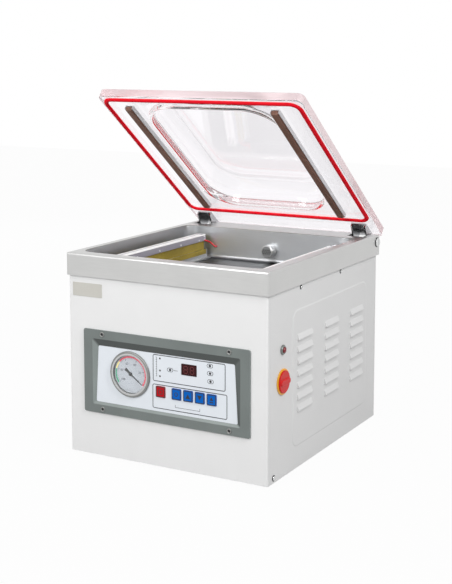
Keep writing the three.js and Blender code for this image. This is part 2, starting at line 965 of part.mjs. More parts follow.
function airBag() {
  const width = channelInside - 2 * seatGap;
  const middle = channelFloor + seatGap + bagHeight / 2;
  const section = roundedRect(width, bagHeight, bagHeight / 2 - filmGap, 0, middle, filletSteps);
  return standing(section, -barLength / 2, barLength / 2);
}

function sealBar() {
  const outer = barWidth / 2;
  const inner = outer - barWall;
  const profile = outlineOf([
    [-outer, barTop - barHeight],
    [-inner, barTop - barHeight],
    [-inner, barTop - barWall],
    [inner, barTop - barWall],
    [inner, barTop - barHeight],
    [outer, barTop - barHeight],
    [outer, barTop - barWall / 2],
    [inner, barTop],
    [-inner, barTop],
    [-outer, barTop - barWall / 2],
  ]);
  return standing(profile, -barLength / 2, barLength / 2);
}

function insulationBoard() {
  const half = barLength / 2 - barWall;
  const bottom = bagTop + seatGap;
  const top = barTop - barWall - seatGap;
  return cuboid(-boardWidth / 2, boardWidth / 2, -half, half, bottom, top);
}

function heatingStrip() {
  const inner = barLength / 2 + filmGap;
  const outer = inner + stripThickness;
  const under = barTop + filmGap;
  const profile = outlineOf([
    [-outer, barTop - stripTail],
    [-inner, barTop - stripTail],
    [-inner, under],
    [inner, under],
    [inner, barTop - stripTail],
    [outer, barTop - stripTail],
    [outer, under + stripThickness],
    [-outer, under + stripThickness],
  ]);
  return sideways(profile, -stripWidth / 2, stripWidth / 2);
}

// The lead leaves the bar's inner side near its rear end and runs to the tub's rear wall
function heaterLead(sign) {
  const start = new THREE.Vector3(
    -sign * (barWidth / 2 + seatGap),
    barLength / 2 - leadExitInset,
    barTop - leadOutDrop + leadRadius,
  );
  const wall = chamberRear - chamberMiddle - seatGap;
  const points = [
    start,
    start.clone().add(new THREE.Vector3(-sign * 2 * leadRadius, 0, 0)),
    new THREE.Vector3(-sign * (barWidth / 2 + leadReach / 2), (start.y + wall) / 2, start.z - leadSag / 3),
    new THREE.Vector3(-sign * (barWidth / 2 + leadReach), wall - 3 * leadRadius, start.z - leadSag),
    new THREE.Vector3(-sign * (barWidth / 2 + leadReach), wall, start.z - leadSag),
  ];
  return tube(new THREE.CatmullRomCurve3(points), leadRadius, leadSides, leadSteps);
}

function addSealBars() {
  for (const [side, sign] of sides) {
    const station = new THREE.Group();
    station.position.set(sign * barSpacing / 2, chamberMiddle, 0);
    addPiece(station, `${side}_bar_channel`, barChannel(), aluminium);
    addPiece(station, `${side}_air_bag`, airBag(), greySilicone);
    addPiece(station, `${side}_seal_bar`, sealBar(), aluminium);
    addPiece(station, `${side}_insulation_board`, insulationBoard(), yellowBoard);
    addPiece(station, `${side}_heating_strip`, heatingStrip(), nichrome);
    addPiece(station, `${side}_heater_lead`, heaterLead(sign), redLead);
    machine.add(station);
  }
}

// Lid pieces are drawn closed, about the hinge axis, and swing with the lid's group
const lidInner = lidUnder - pivotZ;
const domeMiddle = domeFront + domeLength / 2 - pivotY;

function domeRing(inset, grow, z) {
  const width = domeWidth - 2 * domeSideSlope * inset + 2 * grow;
  const length = domeLength - (domeFrontSlope + domeRearSlope) * inset + 2 * grow;
  const shift = (domeFrontSlope - domeRearSlope) * inset / 2;
  const corner = domeCorner - domeSideSlope * inset / 2 + grow;
  return raised(roundedRect(width, length, corner, 0, domeMiddle + shift, domeCornerSteps), z);
}

function domeForm(grow, depth, start) {
  const rings = [domeRing(0, grow, start)];
  for (let i = 0; i <= domeSteps; i += 1) {
    const angle = quarter * (i / domeSteps);
    rings.push(domeRing(1 - Math.cos(angle), grow, lidInner + depth * Math.sin(angle)));
  }
  return loft(rings);
}

function gasketOutline(grow) {
  const width = rimWidth - 2 * gasketSideInset + 2 * grow;
  const front = gasketFrontInset - pivotY;
  const rear = chamberRear + gasketRearBeyond - pivotY;
  return roundedRect(width, rear - front + 2 * grow, gasketCorner + grow, 0, (front + rear) / 2);
}

function lidPanel() {
  const front = lidFrontInset - pivotY;
  const rear = lidRear - pivotY;
  const sheet = (inset) => roundedRect(
    lidWidth - 2 * inset, rear - front - 2 * inset, lidCorner - inset, 0, (front + rear) / 2,
  );
  const slab = loft([
    raised(sheet(lidEdge), lidInner),
    raised(sheet(0), lidInner + lidEdge),
    raised(sheet(0), lidInner + lidThickness - lidEdge),
    raised(sheet(lidEdge), lidInner + lidThickness),
  ]);
  const dome = domeForm(domeWall, domeDepth + domeWall, lidInner + lidThickness / 2);
  const hollow = domeForm(0, domeDepth, lidInner - cutOverrun);
  const groove = lying(
    gasketOutline(gasketWidth / 2 + seatGap),
    lidInner - cutOverrun,
    lidInner + gasketGroove,
    [gasketOutline(-gasketWidth / 2 - seatGap)],
  );
  return cut(join(slab, dome), hollow, groove);
}

function lidGasket() {
  const bottom = rimTop + seatGap - pivotZ;
  const top = lidInner + gasketGroove - seatGap;
  const half = gasketWidth / 2;
  const outer = loft([
    raised(gasketOutline(half - gasketEdge), bottom),
    raised(gasketOutline(half), bottom + gasketEdge),
    raised(gasketOutline(half), top),
  ]);
  const inner = loft([
    raised(gasketOutline(gasketEdge - half), bottom - filmGap),
    raised(gasketOutline(gasketEdge - half), bottom),
    raised(gasketOutline(-half), bottom + gasketEdge),
    raised(gasketOutline(-half), top + cutOverrun),
  ]);
  return cut(outer, inner);
}

function padHolder() {
  const outer = padHolderWidth / 2;
  const inner = outer - padHolderWall;
  const top = lidInner - seatGap;
  const profile = outlineOf([
    [-outer, top - padHolderHeight],
    [-inner, top - padHolderHeight],
    [-inner, top - padHolderWall],
    [inner, top - padHolderWall],
    [inner, top - padHolderHeight],
    [outer, top - padHolderHeight],
    [outer, top],
    [-outer, top],
  ]);
  return standing(profile, -padLength / 2, padLength / 2);
}

function pressurePad() {
  const half = padHolderWidth / 2 - padHolderWall - seatGap;
  const top = lidInner - 2 * seatGap - padHolderWall;
  const face = padFace - pivotZ;
  const section = roundedRect(2 * half, top - face, padHolderWall / 2, 0, (top + face) / 2, filletSteps);
  return standing(section, -padLength / 2, padLength / 2);
}

function bracketCheek(x) {
  const plateUnder = lidInner - seatGap - bracketWall;
  const toe = pivotRadius - bracketToe;
  const cheek = outlineOf([[-bracketFront, plateUnder + filmGap], [-bracketFront, toe]]).concat(
    arcPoints(0, 0, bracketEye, cheekTurnShare * quarter, 4 * quarter, 2 * cornerSteps),
    outlineOf([[bracketRear, plateUnder + filmGap]]),
  );
  const eye = circle(shaftRadius + seatGap, smallSides);
  return sideways(cheek, x, x + bracketWall, [eye]);
}

function hingeBracket() {
  const half = bracketWidth / 2;
  const top = lidInner - seatGap;
  const plate = cuboid(-half, half, -bracketFront, bracketRear, top - bracketWall, top);
  return join(plate, bracketCheek(-half), bracketCheek(half - bracketWall));
}

function addLid() {
  const lid = new THREE.Group();
  lid.position.set(0, pivotY, pivotZ);
  lid.rotation.x = -lidOpenAngle;
  addPiece(lid, 'lid_panel', lidPanel(), clearAcrylic);
  addPiece(lid, 'lid_gasket', lidGasket(), redSilicone);
  for (const [side, sign] of sides) {
    const holder = addPiece(lid, `${side}_pad_holder`, padHolder(), aluminium);
    const pad = addPiece(lid, `${side}_pressure_pad`, pressurePad(), brownSilicone);
    holder.position.set(sign * barSpacing / 2, chamberMiddle - pivotY, 0);
    pad.position.copy(holder.position);
    const bracket = addPiece(lid, `${side}_hinge_bracket`, hingeBracket(), polishedSteel);
    bracket.position.x = sign * bracketSpacing / 2;
  }
  machine.add(lid);
}

// Hinge shaft, its slotted end screws and the torsion springs that hold the lid up
function hingeShaft() {
  const half = rimWidth / 2 - rimThickness - seatGap;
  const inner = half - shaftBoreDepth;
  return aimedRight(turned([
    [0, -inner],
    [shaftBore, -inner],
    [shaftBore, -half],
    [shaftRadius, -half],
    [shaftRadius, half],
    [shaftBore, half],
    [shaftBore, inner],
    [0, inner],
  ], smallSides));
}

function pivotScrew() {
  const head = pivotScrewHeadHeight;
  const screw = turned([
    [0, -pivotScrewLength],
    [pivotScrewShank, -pivotScrewLength],
    [pivotScrewShank, 0],
    [pivotScrewHead, 0],
    [pivotScrewHead, head / 2],
    [pivotScrewHead - head / 2, head],
    [0, head],
  ], smallSides);
  const reach = pivotScrewHead + cutOverrun;
  const slot = cuboid(
    -reach, reach, -pivotSlotWidth / 2, pivotSlotWidth / 2, head - pivotSlotDepth, head + cutOverrun,
  );
  return cut(screw, slot);
}

function lidSpring(sign) {
  const radius = shaftRadius + springClearance + springWire / 2;
  const points = [];
  const turnSteps = springTurns * springSteps;
  for (let i = 0; i <= turnSteps; i += 1) {
    const angle = 4 * quarter * (i / springSteps);
    const x = sign * springPitch * (i / springSteps);
    points.push(new THREE.Vector3(x, radius * Math.sin(angle), radius * Math.cos(angle)));
  }
  const firstLeg = points[0].clone();
  firstLeg.y -= springLeg;
  const lastLeg = points[turnSteps].clone();
  lastLeg.y += springLeg / 3;
  const route = [firstLeg, ...points, lastLeg];
  return tube(new THREE.CatmullRomCurve3(route), springWire / 2, wireSides, route.length - 1);
}

function addHinge() {
  const shaft = addPiece(machine, 'hinge_shaft', hingeShaft(), polishedSteel);
  shaft.position.set(0, pivotY, pivotZ);
  for (const [side, sign] of sides) {
    const screw = addPiece(machine, `${side}_pivot_screw`, pivotScrew(), polishedSteel);
    screw.rotation.y = sign * quarter;
    screw.position.set(sign * (rimWidth / 2 + seatGap), pivotY, pivotZ);
    const spring = addPiece(machine, `${side}_lid_spring`, lidSpring(-sign), springSteel);
    const start = bracketSpacing / 2 - bracketWidth / 2 - springSetOff;
    spring.position.set(sign * start, pivotY, pivotZ);
  }
}

// Control panel: the bezel's opening narrows from its lip to the face on four wide slopes, and
// its inner edge stands in towards the top
function openingRing(isInner, y) {
  const shape = isInner ? 1 : 0;
  const height = lipHeight - shape * (bezelTopSlope + bezelFootSlope);
  return lipOutline(0).map((point) => {
    const up = (point.y - lipBottom) / lipHeight;
    const sideSlope = bezelSideSlopeFoot + (bezelSideSlopeTop - bezelSideSlopeFoot) * up;
    const narrowing = 1 - shape * (sideSlope / (lipWidth / 2));
    const z = lipBottom + shape * bezelFootSlope + up * height;
    return new THREE.Vector3(point.x * narrowing, y, z);
  });
}

function panelBezel() {
  const flange = roundedRect(bezelWidth, bezelHeight, bezelCorner, 0, panelBase + bezelHeight / 2);
  const plate = standing(flange, bezelFront, bezelBack);
  const funnel = loft([
    openingRing(false, bezelFront - cutOverrun),
    openingRing(false, bezelFront),
    openingRing(true, bezelBack),
    openingRing(true, bezelBack + cutOverrun),
  ]);
  const recesses = [];
  const screwPlace = bezelWidth / 2 - bezelScrewEnd;
  for (const sign of [-1, 1]) {
    const heights = [panelBase + bezelScrewInset, panelBase + bezelHeight - bezelScrewInset];
    for (const z of heights) {
      const recess = circle(bezelScrewRadius, smallSides, sign * screwPlace, z);
      recesses.push(standing(recess, bezelFront - cutOverrun, bezelFront + bezelScrewDepth));
    }
  }
  return cut(plate, funnel, ...recesses);
}

const keyPlaces = [
  ['stop_button', stopKeySideways, redKey],
  ['set_button', firstKeySideways, blueKey],
  ['up_button', firstKeySideways + keyPitch, blueKey],
  ['down_button', firstKeySideways + 2 * keyPitch, blueKey],
  ['start_button', firstKeySideways + 3 * keyPitch, blueKey],
];

function panelFace() {
  const through = [bodyFront - cutOverrun, faceBack + cutOverrun];
  const plate = standing(lipOutline(faceLap), faceFront, faceBack);
  const gaugeRoom = circle(gaugeCanRadius + seatGap, roundSides, gaugeSideways, panelBase + gaugeRise);
  const displayRoom = roundedRect(
    displayWidth + 2 * seatGap,
    displayHeight + 2 * seatGap,
    keyCorner / 2,
    displaySideways,
    panelBase + displayRise,
    1,
  );
  const keyRooms = keyPlaces.map(([, x]) => roundedRect(
    keyWidth + 2 * seatGap,
    keyHeight + 2 * seatGap,
    keyCorner + seatGap,
    x,
    panelBase + keyRise,
    filletSteps,
  ));
  const tools = [gaugeRoom, displayRoom, ...keyRooms].map((room) => standing(room, ...through));
  return cut(plate, ...tools);
}

function panelKey() {
  const cap = roundedRect(keyWidth, keyHeight, keyCorner, 0, 0, filletSteps);
  const body = standing(cap, -keyProud, faceThickness);
  const stemEnd = boardStandOff + faceThickness - tactHeight - keyTravel - seatGap;
  const stem = standing(circle(keyStem, tinySides), faceThickness / 2, stemEnd);
  return join(body, stem);
}

function addKeys() {
  for (const [name, x, material] of keyPlaces) {
    const key = addPiece(machine, name, panelKey(), material);
    key.position.set(x, faceFront, panelBase + keyRise);
  }
}

function displayWindow() {
  const outline = roundedRect(displayWidth, displayHeight, keyCorner / 2, 0, 0, 1);
  return standing(outline, -displayProud, displayDepth);
}

function controlBoard() {
  const front = faceBack + boardStandOff;
  const z0 = panelBase + bezelFoot + boardMargin;
  const z1 = panelBase + bezelHeight - bezelTop - boardMargin;
  const board = cuboid(boardLeft, boardRight, front, front + boardThickness, z0, z1);
  const posts = [];
  for (const x of [boardLeft + boardPostInset, boardRight - boardPostInset]) {
    for (const z of [z0 + boardPostInset, z1 - boardPostInset]) {
      const post = circle(boardPostRadius, tinySides, x, z);
      posts.push(standing(post, faceBack + seatGap, front + boardThickness / 2));
    }
  }
  const half = tactSize / 2;
  const keyZ = panelBase + keyRise;
  const tacts = keyPlaces.map(([, x]) => cuboid(
    x - half, x + half, front - tactHeight, front + boardThickness / 2, keyZ - half, keyZ + half,
  ));
  const digits = cuboid(
    displaySideways - displayWidth / 2,
    displaySideways + displayWidth / 2,
    faceFront + displayDepth + seatGap,
    front + boardThickness / 2,
    panelBase + displayRise - displayHeight / 2,
    panelBase + displayRise + displayHeight / 2,
  );
  return join(board, ...posts, ...tacts, digits);
}

// Gauge, drawn about its axis with +Z towards the viewer and 0 at the panel's face
function gaugeCase() {
  const seat = gaugeRingHeight - gaugeDialDepth - seatGap;
  const bore = gaugeDialRadius + seatGap;
  return turned([
    [0, -gaugeCanDepth],
    [gaugeCanRadius, -gaugeCanDepth],
    [gaugeCanRadius, 0],
    [gaugeRingRadius, 0],
    [gaugeRingRadius, gaugeRingHeight - gaugeRingEdge],
    [gaugeRingRadius - gaugeRingEdge, gaugeRingHeight],
    [bore + gaugeRingEdge, gaugeRingHeight],
    [bore, gaugeRingHeight - gaugeRingEdge / 2],
    [bore, seat - gaugeDialThickness],
    [bore - gaugeLedge, seat - gaugeDialThickness],
    [bore - gaugeLedge, gaugeWall - gaugeCanDepth],
    [0, gaugeWall - gaugeCanDepth],
  ]);
}

function gaugeDial() {
  const top = gaugeRingHeight - gaugeDialDepth;
  const hole = pointerPin + seatGap;
  return turned([
    [hole, top - gaugeDialThickness],
    [gaugeDialRadius, top - gaugeDialThickness],
    [gaugeDialRadius, top],
    [hole, top],
    [hole, top - gaugeDialThickness],
  ]);
}

function gaugePointer() {
  const base = gaugeRingHeight - gaugeDialDepth + seatGap;
  const needle = lying(outlineOf([
    [-pointerTail, -pointerTailWidth / 2],
    [0, -pointerRootWidth / 2],
    [pointerLength, -pointerTipWidth / 2],
    [pointerLength, pointerTipWidth / 2],
    [0, pointerRootWidth / 2],
    [-pointerTail, pointerTailWidth / 2],
  ]), base, base + pointerThickness);
  const hub = rod(pointerHub, 2 * pointerThickness).translate(0, 0, base);
  const pin = rod(pointerPin, gaugeDialDepth, tinySides);
  return join(needle, hub, pin.translate(0, 0, base + pointerThickness - gaugeDialDepth));
}

function gaugeGlass() {
  const top = gaugeRingHeight - gaugeGlassDepth;
  return turned([
    [0, top - gaugeGlassThickness],
    [gaugeDialRadius, top - gaugeGlassThickness],
    [gaugeDialRadius, top],
    [0, top],
  ]);
}

function addGauge() {
  const gauge = new THREE.Group();
  gauge.position.set(gaugeSideways, faceFront - seatGap, panelBase + gaugeRise);
  gauge.rotation.x = quarter;
  addPiece(gauge, 'gauge_case', gaugeCase(), polishedSteel);
  addPiece(gauge, 'gauge_dial', gaugeDial(), dialWhite);
  const pointer = addPiece(gauge, 'gauge_pointer', gaugePointer(), pointerBlack);
  pointer.rotation.z = pointerRestAngle;
  addPiece(gauge, 'gauge_glass', gaugeGlass(), clearGlass);
  machine.add(gauge);
}

// Main switch and lamp, drawn about their axes with +Z pointing out of the right side
function mainSwitchBody() {
  const half = switchBoxSize / 2;
  const neckBottom = -seatGap - sheetThickness - runningGap;
  const ring = rod(switchRadius, switchRing, roundSides);
  const neck = rod(switchNeck, switchRing - neckBottom).translate(0, 0, neckBottom);
  const box = cuboid(-half, half, -half, half, neckBottom - switchBoxDepth, neckBottom + filmGap);
  const well = rod(knobStem + seatGap, switchRing + cutOverrun);
  return cut(join(ring, neck, box), well.translate(0, 0, switchRing - knobStemLength - seatGap));
}

function mainSwitchKnob() {
  const disc = turned([
    [0, 0],
    [knobRadius, 0],
    [knobRadius, knobHeight - knobEdge],
    [knobRadius - knobEdge, knobHeight],
    [0, knobHeight],
  ]);
  const grip = (inset) => roundedRect(
    knobGripWidth - 2 * inset, knobGripLength - 2 * inset, knobGripWidth / 2 - inset - filmGap, 0, 0,
  );
  const bar = loft([
    raised(grip(0), knobHeight / 2),
    raised(grip(0), knobHeight + knobGripHeight - knobEdge),
    raised(grip(knobEdge), knobHeight + knobGripHeight),
  ]);
  const stem = rod(knobStem, knobStemLength + knobEdge).translate(0, 0, -knobStemLength);
  return join(disc, bar, stem);
}

function lampRing() {
  const back = -lampBodyDepth;
  const well = lampRingHeight / 2;
  return turned([
    [0, back],
    [lampBody, back],
    [lampBody, 0],
    [lampRingRadius, 0],
    [lampRingRadius, well],
    [lampRingRadius - well, lampRingHeight],
    [lampLensRadius + seatGap, lampRingHeight],
    [lampLensRadius + seatGap, well],
    [0, well],
  ], smallSides);
}

function lampLens() {
  const base = lampRingHeight / 2 + seatGap;
  const dome = arcPoints(0, 0, 1, 0, quarter, filletSteps).map((point) => [
    point.x > filmGap ? lampLensRadius * point.x : 0,
    base + lampLensHeight / 2 + (lampLensHeight / 2) * point.y,
  ]);
  return turned([[0, base], [lampLensRadius, base], ...dome], smallSides);
}

function addSideControls() {
  const controls = new THREE.Group();
  controls.position.set(switchFace, 0, bodyBottom);
  controls.rotation.y = quarter;
  const body = addPiece(controls, 'main_switch_body', mainSwitchBody(), switchYellow);
  const knob = addPiece(controls, 'main_switch_knob', mainSwitchKnob(), switchRed);
  body.position.set(-switchRise, switchDepthwise, 0);
  knob.position.set(-switchRise, switchDepthwise, switchRing + seatGap);
  const ring = addPiece(controls, 'power_lamp_ring', lampRing(), polishedSteel);
  const lens = addPiece(controls, 'power_lamp_lens', lampLens(), switchRed);
  ring.position.set(-lampRise, lampDepthwise, 0);
  lens.position.copy(ring.position);
  machine.add(controls);
}

// Pump and motor on one axis, standing on the base pan
const pumpBase = panTop + seatGap;
const pumpAxis = pumpBase + pumpPadHeight + pumpHeight / 2;
const pumpRear = chamberRear - pumpSetBack;
const pumpFront = pumpRear - pumpLength;

function vacuumPump() {
  const bottom = pumpBase + pumpPadHeight;
  const section = roundedRect(pumpWidth, pumpHeight, pumpCorner, 0, pumpAxis, filletSteps);
  const casing = standing(section, pumpFront, pumpRear);
  const finned = roundedRect(
    pumpWidth + 2 * pumpFinReach, pumpHeight, pumpCorner + pumpFinReach, 0, pumpAxis, filletSteps,
  );
  const fins = [];
  for (let i = 1; i <= pumpFins; i += 1) {
    const y = pumpFront + pumpLength * (i / (pumpFins + 1));
    fins.push(standing(finned, y - pumpFinThickness / 2, y + pumpFinThickness / 2));
  }
  const pads = [-1, 1].map((sign) => {
    const edge = sign * (pumpWidth / 2);
    const [x0, x1] = [edge, edge - sign * pumpPadWidth].sort((a, b) => a - b);
    return cuboid(x0, x1, pumpFront, pumpRear, pumpBase, bottom + pumpCorner);
  });
  const top = bottom + pumpHeight;
  const dome = turned([
    [0, -pumpCorner],
    [pumpDomeRadius, -pumpCorner],
    [pumpDomeRadius, pumpDomeHeight - pumpCorner / 2],
    [pumpDomeRadius - pumpCorner / 2, pumpDomeHeight],
    [0, pumpDomeHeight],
  ], smallSides);
  const domeY = pumpFront + pumpDomeRadius + pumpCorner;
  const inlet = rod(inletRadius, inletHeight + pumpCorner);
  return join(
    casing,
    ...fins,
    ...pads,
    dome.translate(-pumpDomeRadius / 2, domeY, top),
    inlet.translate(portSideways - pumpSideways, pumpRear - 2 * inletRadius, top - pumpCorner),
  );
}

function pumpMotor() {
  const rear = pumpFront - seatGap;
  const coupling = rear - motorCowl;
  const drum = aimedBack(turned([
    [0, motorFront],
    [motorRadius - pumpCorner, motorFront],
    [motorRadius, motorFront + pumpCorner],
    [motorRadius, coupling],
    [2 * motorShaftRadius, coupling],
    [2 * motorShaftRadius, rear],
    [0, rear],
  ])).translate(0, 0, pumpAxis);
  const fins = [];
  for (let i = 0; i < motorFins; i += 1) {
    const reach = motorRadius + motorFinReach;
    const fin = cuboid(
      0, reach, motorFront + motorCowl, coupling, -motorFinThickness / 2, motorFinThickness / 2,
    );
    fins.push(fin.rotateY(4 * quarter * (i / motorFins)).translate(0, 0, pumpAxis));
  }
  const padReach = motorRadius * motorPadShare;
  const pads = [motorFront + motorCowl, coupling - motorPadWidth].map((y) => (
    cuboid(-padReach, padReach, y, y + motorPadWidth, pumpBase, pumpAxis - motorRadius / 2)
  ));
  const boxY = (motorFront + coupling) / 2;
  const top = pumpAxis + motorRadius;
  const box = cuboid(
    -motorBoxWidth / 2,
    motorBoxWidth / 2,
    boxY - motorBoxLength / 2,
    boxY + motorBoxLength / 2,
    top - motorBoxHeight / 2,
    top + motorBoxHeight,
  );
  return join(drum, ...fins, ...pads, box);
}

// Solenoid valve on the pump's inlet, and the hose from the chamber's port down to it
const valveBottom = pumpBase + pumpPadHeight + pumpHeight + inletHeight + seatGap;
const valveY = pumpRear - 2 * inletRadius;
const spigotZ = valveBottom + valveHeight / 2;

function solenoidValve() {
  const half = valveSize / 2;
  const block = cuboid(-half, half, -half, half, 0, valveHeight);
  const coil = turned([
    [0, valveHeight - filmGap],
    [valveCoilRadius, valveHeight - filmGap],
    [valveCoilRadius, valveHeight + valveCoilHeight],
    [valveCoilRadius / 3, valveHeight + valveCoilHeight],
    [valveCoilRadius / 3, valveHeight + valveCoilHeight + valveStubHeight],
    [0, valveHeight + valveCoilHeight + valveStubHeight],
  ], smallSides);
  const spigot = aimedBack(rod(portStemRadius, valveSpigotLength + half));
  return join(block, coil, spigot.translate(0, 0, valveHeight / 2));
}

function vacuumHose() {
  const bore = (portStemRadius + seatGap) / Math.cos(2 * quarter / hoseSides);
  const start = chamberRear + tubThickness + runningGap;
  const turn = start + portStemTail + hoseLead;
  const end = valveY + valveSize / 2 + seatGap;
  const corner = turn + hoseBend;
  const at = (y, z) => new THREE.Vector3(portSideways, y, z);
  const route = new THREE.CurvePath();
  route.add(new THREE.LineCurve3(at(start, portHeight), at(turn, portHeight)));
  route.add(new THREE.QuadraticBezierCurve3(
    at(turn, portHeight), at(corner, portHeight), at(corner, portHeight - hoseBend),
  ));
  route.add(new THREE.LineCurve3(at(corner, portHeight - hoseBend), at(corner, spigotZ + hoseBend)));
  route.add(new THREE.QuadraticBezierCurve3(
    at(corner, spigotZ + hoseBend), at(corner, spigotZ), at(turn, spigotZ),
  ));
  route.add(new THREE.LineCurve3(at(turn, spigotZ), at(end, spigotZ)));
  return tube(route, bore + hoseWall, hoseSides, hoseSteps, bore);
}

// Transformer for the sealing current: a laminated core with a coil on its middle limb
function sealTransformer() {
  const width = transformerWidth / 2;
  const depth = transformerDepth / 2;
  const window = transformerYoke;
  const core = standing(
    outlineOf([[-width, 0], [width, 0], [width, transformerHeight], [-width, transformerHeight]]),
    -depth,
    depth,
  );
  const coil = lying(
    roundedRect(
      transformerWidth - 2 * window,
      transformerDepth + 2 * transformerCoilReach,
      transformerCoilReach / 2,
      0,
      0,
      filletSteps,
    ),
    window,
    transformerHeight - window,
  );
  const feet = cuboid(
    -width, width, -depth - transformerFoot, depth + transformerFoot, 0, bezelThickness,
  );
  return join(core, coil, feet);
}

function cableGland() {
  const dome = turned([
    [glandBore, -glandTail],
    [glandThread, -glandTail],
    [glandThread, 0],
    [glandHexRadius, 0],
    [glandHexRadius, glandHexHeight],
    [glandDomeRadius, glandHexHeight],
    [glandDomeRadius, glandHexHeight + glandDomeHeight / 2],
    [glandBore + seatGap, glandHexHeight + glandDomeHeight],
    [glandBore, glandHexHeight + glandDomeHeight],
    [glandBore, -glandTail],
  ], hexSides);
  return aimedBack(dome);
}

function addInside() {
  const pump = addPiece(machine, 'vacuum_pump', vacuumPump(), castGrey);
  const motor = addPiece(machine, 'pump_motor', pumpMotor(), motorBlue);
  pump.position.x = pumpSideways;
  motor.position.x = pumpSideways;
  const valve = addPiece(machine, 'solenoid_valve', solenoidValve(), brassMetal);
  valve.position.set(portSideways, valveY, valveBottom);
  addPiece(machine, 'vacuum_hose', vacuumHose(), blackRubber);
  const transformer = addPiece(machine, 'seal_transformer', sealTransformer(), coreSteel);
  transformer.position.set(transformerSideways, transformerDepthwise, pumpBase);
  const gland = addPiece(machine, 'cable_gland', cableGland(), blackRubber);
  gland.position.set(glandSideways, bodyRear + seatGap, bodyBottom + glandRise);
}

// Assembly
addFeet();
addPiece(machine, 'base_pan', basePan(), stainless);
addPiece(machine, 'front_panel', frontPanel(), cabinetPaint);
addSidePanels();
addRearPanel();
addPiece(machine, 'top_rim', topRim(), stainless);
addPiece(machine, 'chamber_tub', chamberTub(), stainless);
const port = addPiece(machine, 'vacuum_port', vacuumPort(), polishedSteel);
port.position.set(portSideways, chamberRear - seatGap, portHeight);
addSealBars();
addLid();
addHinge();
addPiece(machine, 'panel_bezel', panelBezel(), greyPlastic);
addPiece(machine, 'panel_face', panelFace(), faceWhite);
addKeys();
const display = addPiece(machine, 'display_window', displayWindow(), darkRed);
display.position.set(displaySideways, faceFront, panelBase + displayRise);
addPiece(machine, 'control_board', controlBoard(), boardGreen);
addGauge();
addSideControls();
addInside();

// The part's origin: the middle of the outer box at table height
const lidReach = (lidRear - pivotY) * Math.cos(lidOpenAngle)
  + (lidInner + lidThickness - lidEdge) * Math.sin(lidOpenAngle);
const screwReach = rimWidth / 2 + seatGap + pivotScrewHeadHeight;
const knobReach = switchFace + switchRing + seatGap + knobHeight + knobGripHeight;
const boxLeft = -screwReach;
const boxRight = Math.max(screwReach, knobReach);
const boxRear = pivotY + lidReach;
machine.position.set(-(boxLeft + boxRight) / 2, -boxRear / 2, 0);

const sealer = new THREE.Group();
sealer.add(machine);

export default sealer;
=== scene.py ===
"""Looks of a table-top vacuum chamber sealer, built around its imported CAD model.

Lengths are millimetres in the machine's own frame unless a comment says metres: X counts from the
middle of the machine, Y from the front of the rim and Z from the table. MACHINE turns them into
the frame's metres.
"""

import math

import bmesh
import bpy
from mathutils import Matrix, Vector


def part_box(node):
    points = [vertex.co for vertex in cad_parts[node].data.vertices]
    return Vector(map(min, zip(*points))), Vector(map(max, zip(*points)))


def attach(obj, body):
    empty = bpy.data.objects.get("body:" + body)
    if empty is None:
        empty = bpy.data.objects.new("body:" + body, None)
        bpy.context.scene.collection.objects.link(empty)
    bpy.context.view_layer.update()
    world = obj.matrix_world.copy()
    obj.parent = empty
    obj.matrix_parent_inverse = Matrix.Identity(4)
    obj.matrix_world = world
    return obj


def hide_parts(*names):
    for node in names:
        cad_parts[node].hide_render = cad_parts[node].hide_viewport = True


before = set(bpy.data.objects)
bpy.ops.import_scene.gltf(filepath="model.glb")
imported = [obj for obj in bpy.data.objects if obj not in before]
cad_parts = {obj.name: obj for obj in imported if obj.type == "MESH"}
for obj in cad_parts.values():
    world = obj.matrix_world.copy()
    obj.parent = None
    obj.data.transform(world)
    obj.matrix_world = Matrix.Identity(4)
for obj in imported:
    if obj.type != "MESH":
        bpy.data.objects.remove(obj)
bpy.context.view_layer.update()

QUARTER = math.pi / 2
METRE = 0.001
SIDES = (("left", -1), ("right", 1))

# Sizes that the CAD model has too
SEAT_GAP = 0.3
LID_OPEN = 36.7
PIVOT_Y, PIVOT_Z = 536.5, 413.3
LID_INNER = 22.5
LID_WIDTH, LID_FRONT, LID_REAR = 484, -533.1, 16.3
LID_THICKNESS, LID_CORNER, LID_EDGE = 20, 14, 1.5
DOME_WIDTH, DOME_LENGTH, DOME_MIDDLE = 300, 388, -289.5
DOME_DEPTH, DOME_WALL, DOME_CORNER = 50, 8, 65
DOME_SIDE, DOME_FRONT, DOME_REAR = 30, 36, 48
RING_WIDTH, RING_FRONT, RING_REAR, RING_CORNER = 462, -521.5, -57.5, 20
GROOVE_HALF, GROOVE_DEPTH = 5.3, 3.5
GASKET_HALF, GASKET_BOTTOM, GASKET_TOP = 5, 17.8, 25.7
BAR_X, CHAMBER_MIDDLE, CHAMBER_REAR = 174, 244.5, 465
PAD_HALF, PAD_LENGTH, PAD_TOP, PAD_FACE = 7.7, 418, 19.9, 10
BAR_HALF, BAR_FLAT, BAR_LENGTH, BAR_TOP = 12, 9, 411, 413.5
BAG_HALF, BAG_BOTTOM, BAG_TOP = 8.9, 359.4, 367.4
PORT_X, PORT_Z, PORT_FACE, PORT_PITCH, PORT_MIDDLE_HOLES = 2.5, 384.8, 444.7, 4.6, 5
LEAD_RADIUS, LEAD_INSET, LEAD_DROP, LEAD_REACH, LEAD_SAG = 2, 7, 14, 20, 15
BEZEL_FRONT, FACE_FRONT, PANEL_FRONT = 1.2, 4.5, 4.5
PANEL_BASE, BEZEL_HEIGHT = 98, 176
BEZEL_SCREW_X, BEZEL_SCREW_INSET = 150, 8.8
GAUGE_X, GAUGE_Z, GAUGE_Y = -82.8, 189.5, 4.2
DIAL_TOP, GAUGE_FRONT, SCALE_START = -2, 4, -37
KEY_Z, KEY_FACE = 162.6, 2.9
KEYS = (("stop", -9.8), ("set", 27.5), ("up", 54.6), ("down", 81.7), ("start", 108.8))
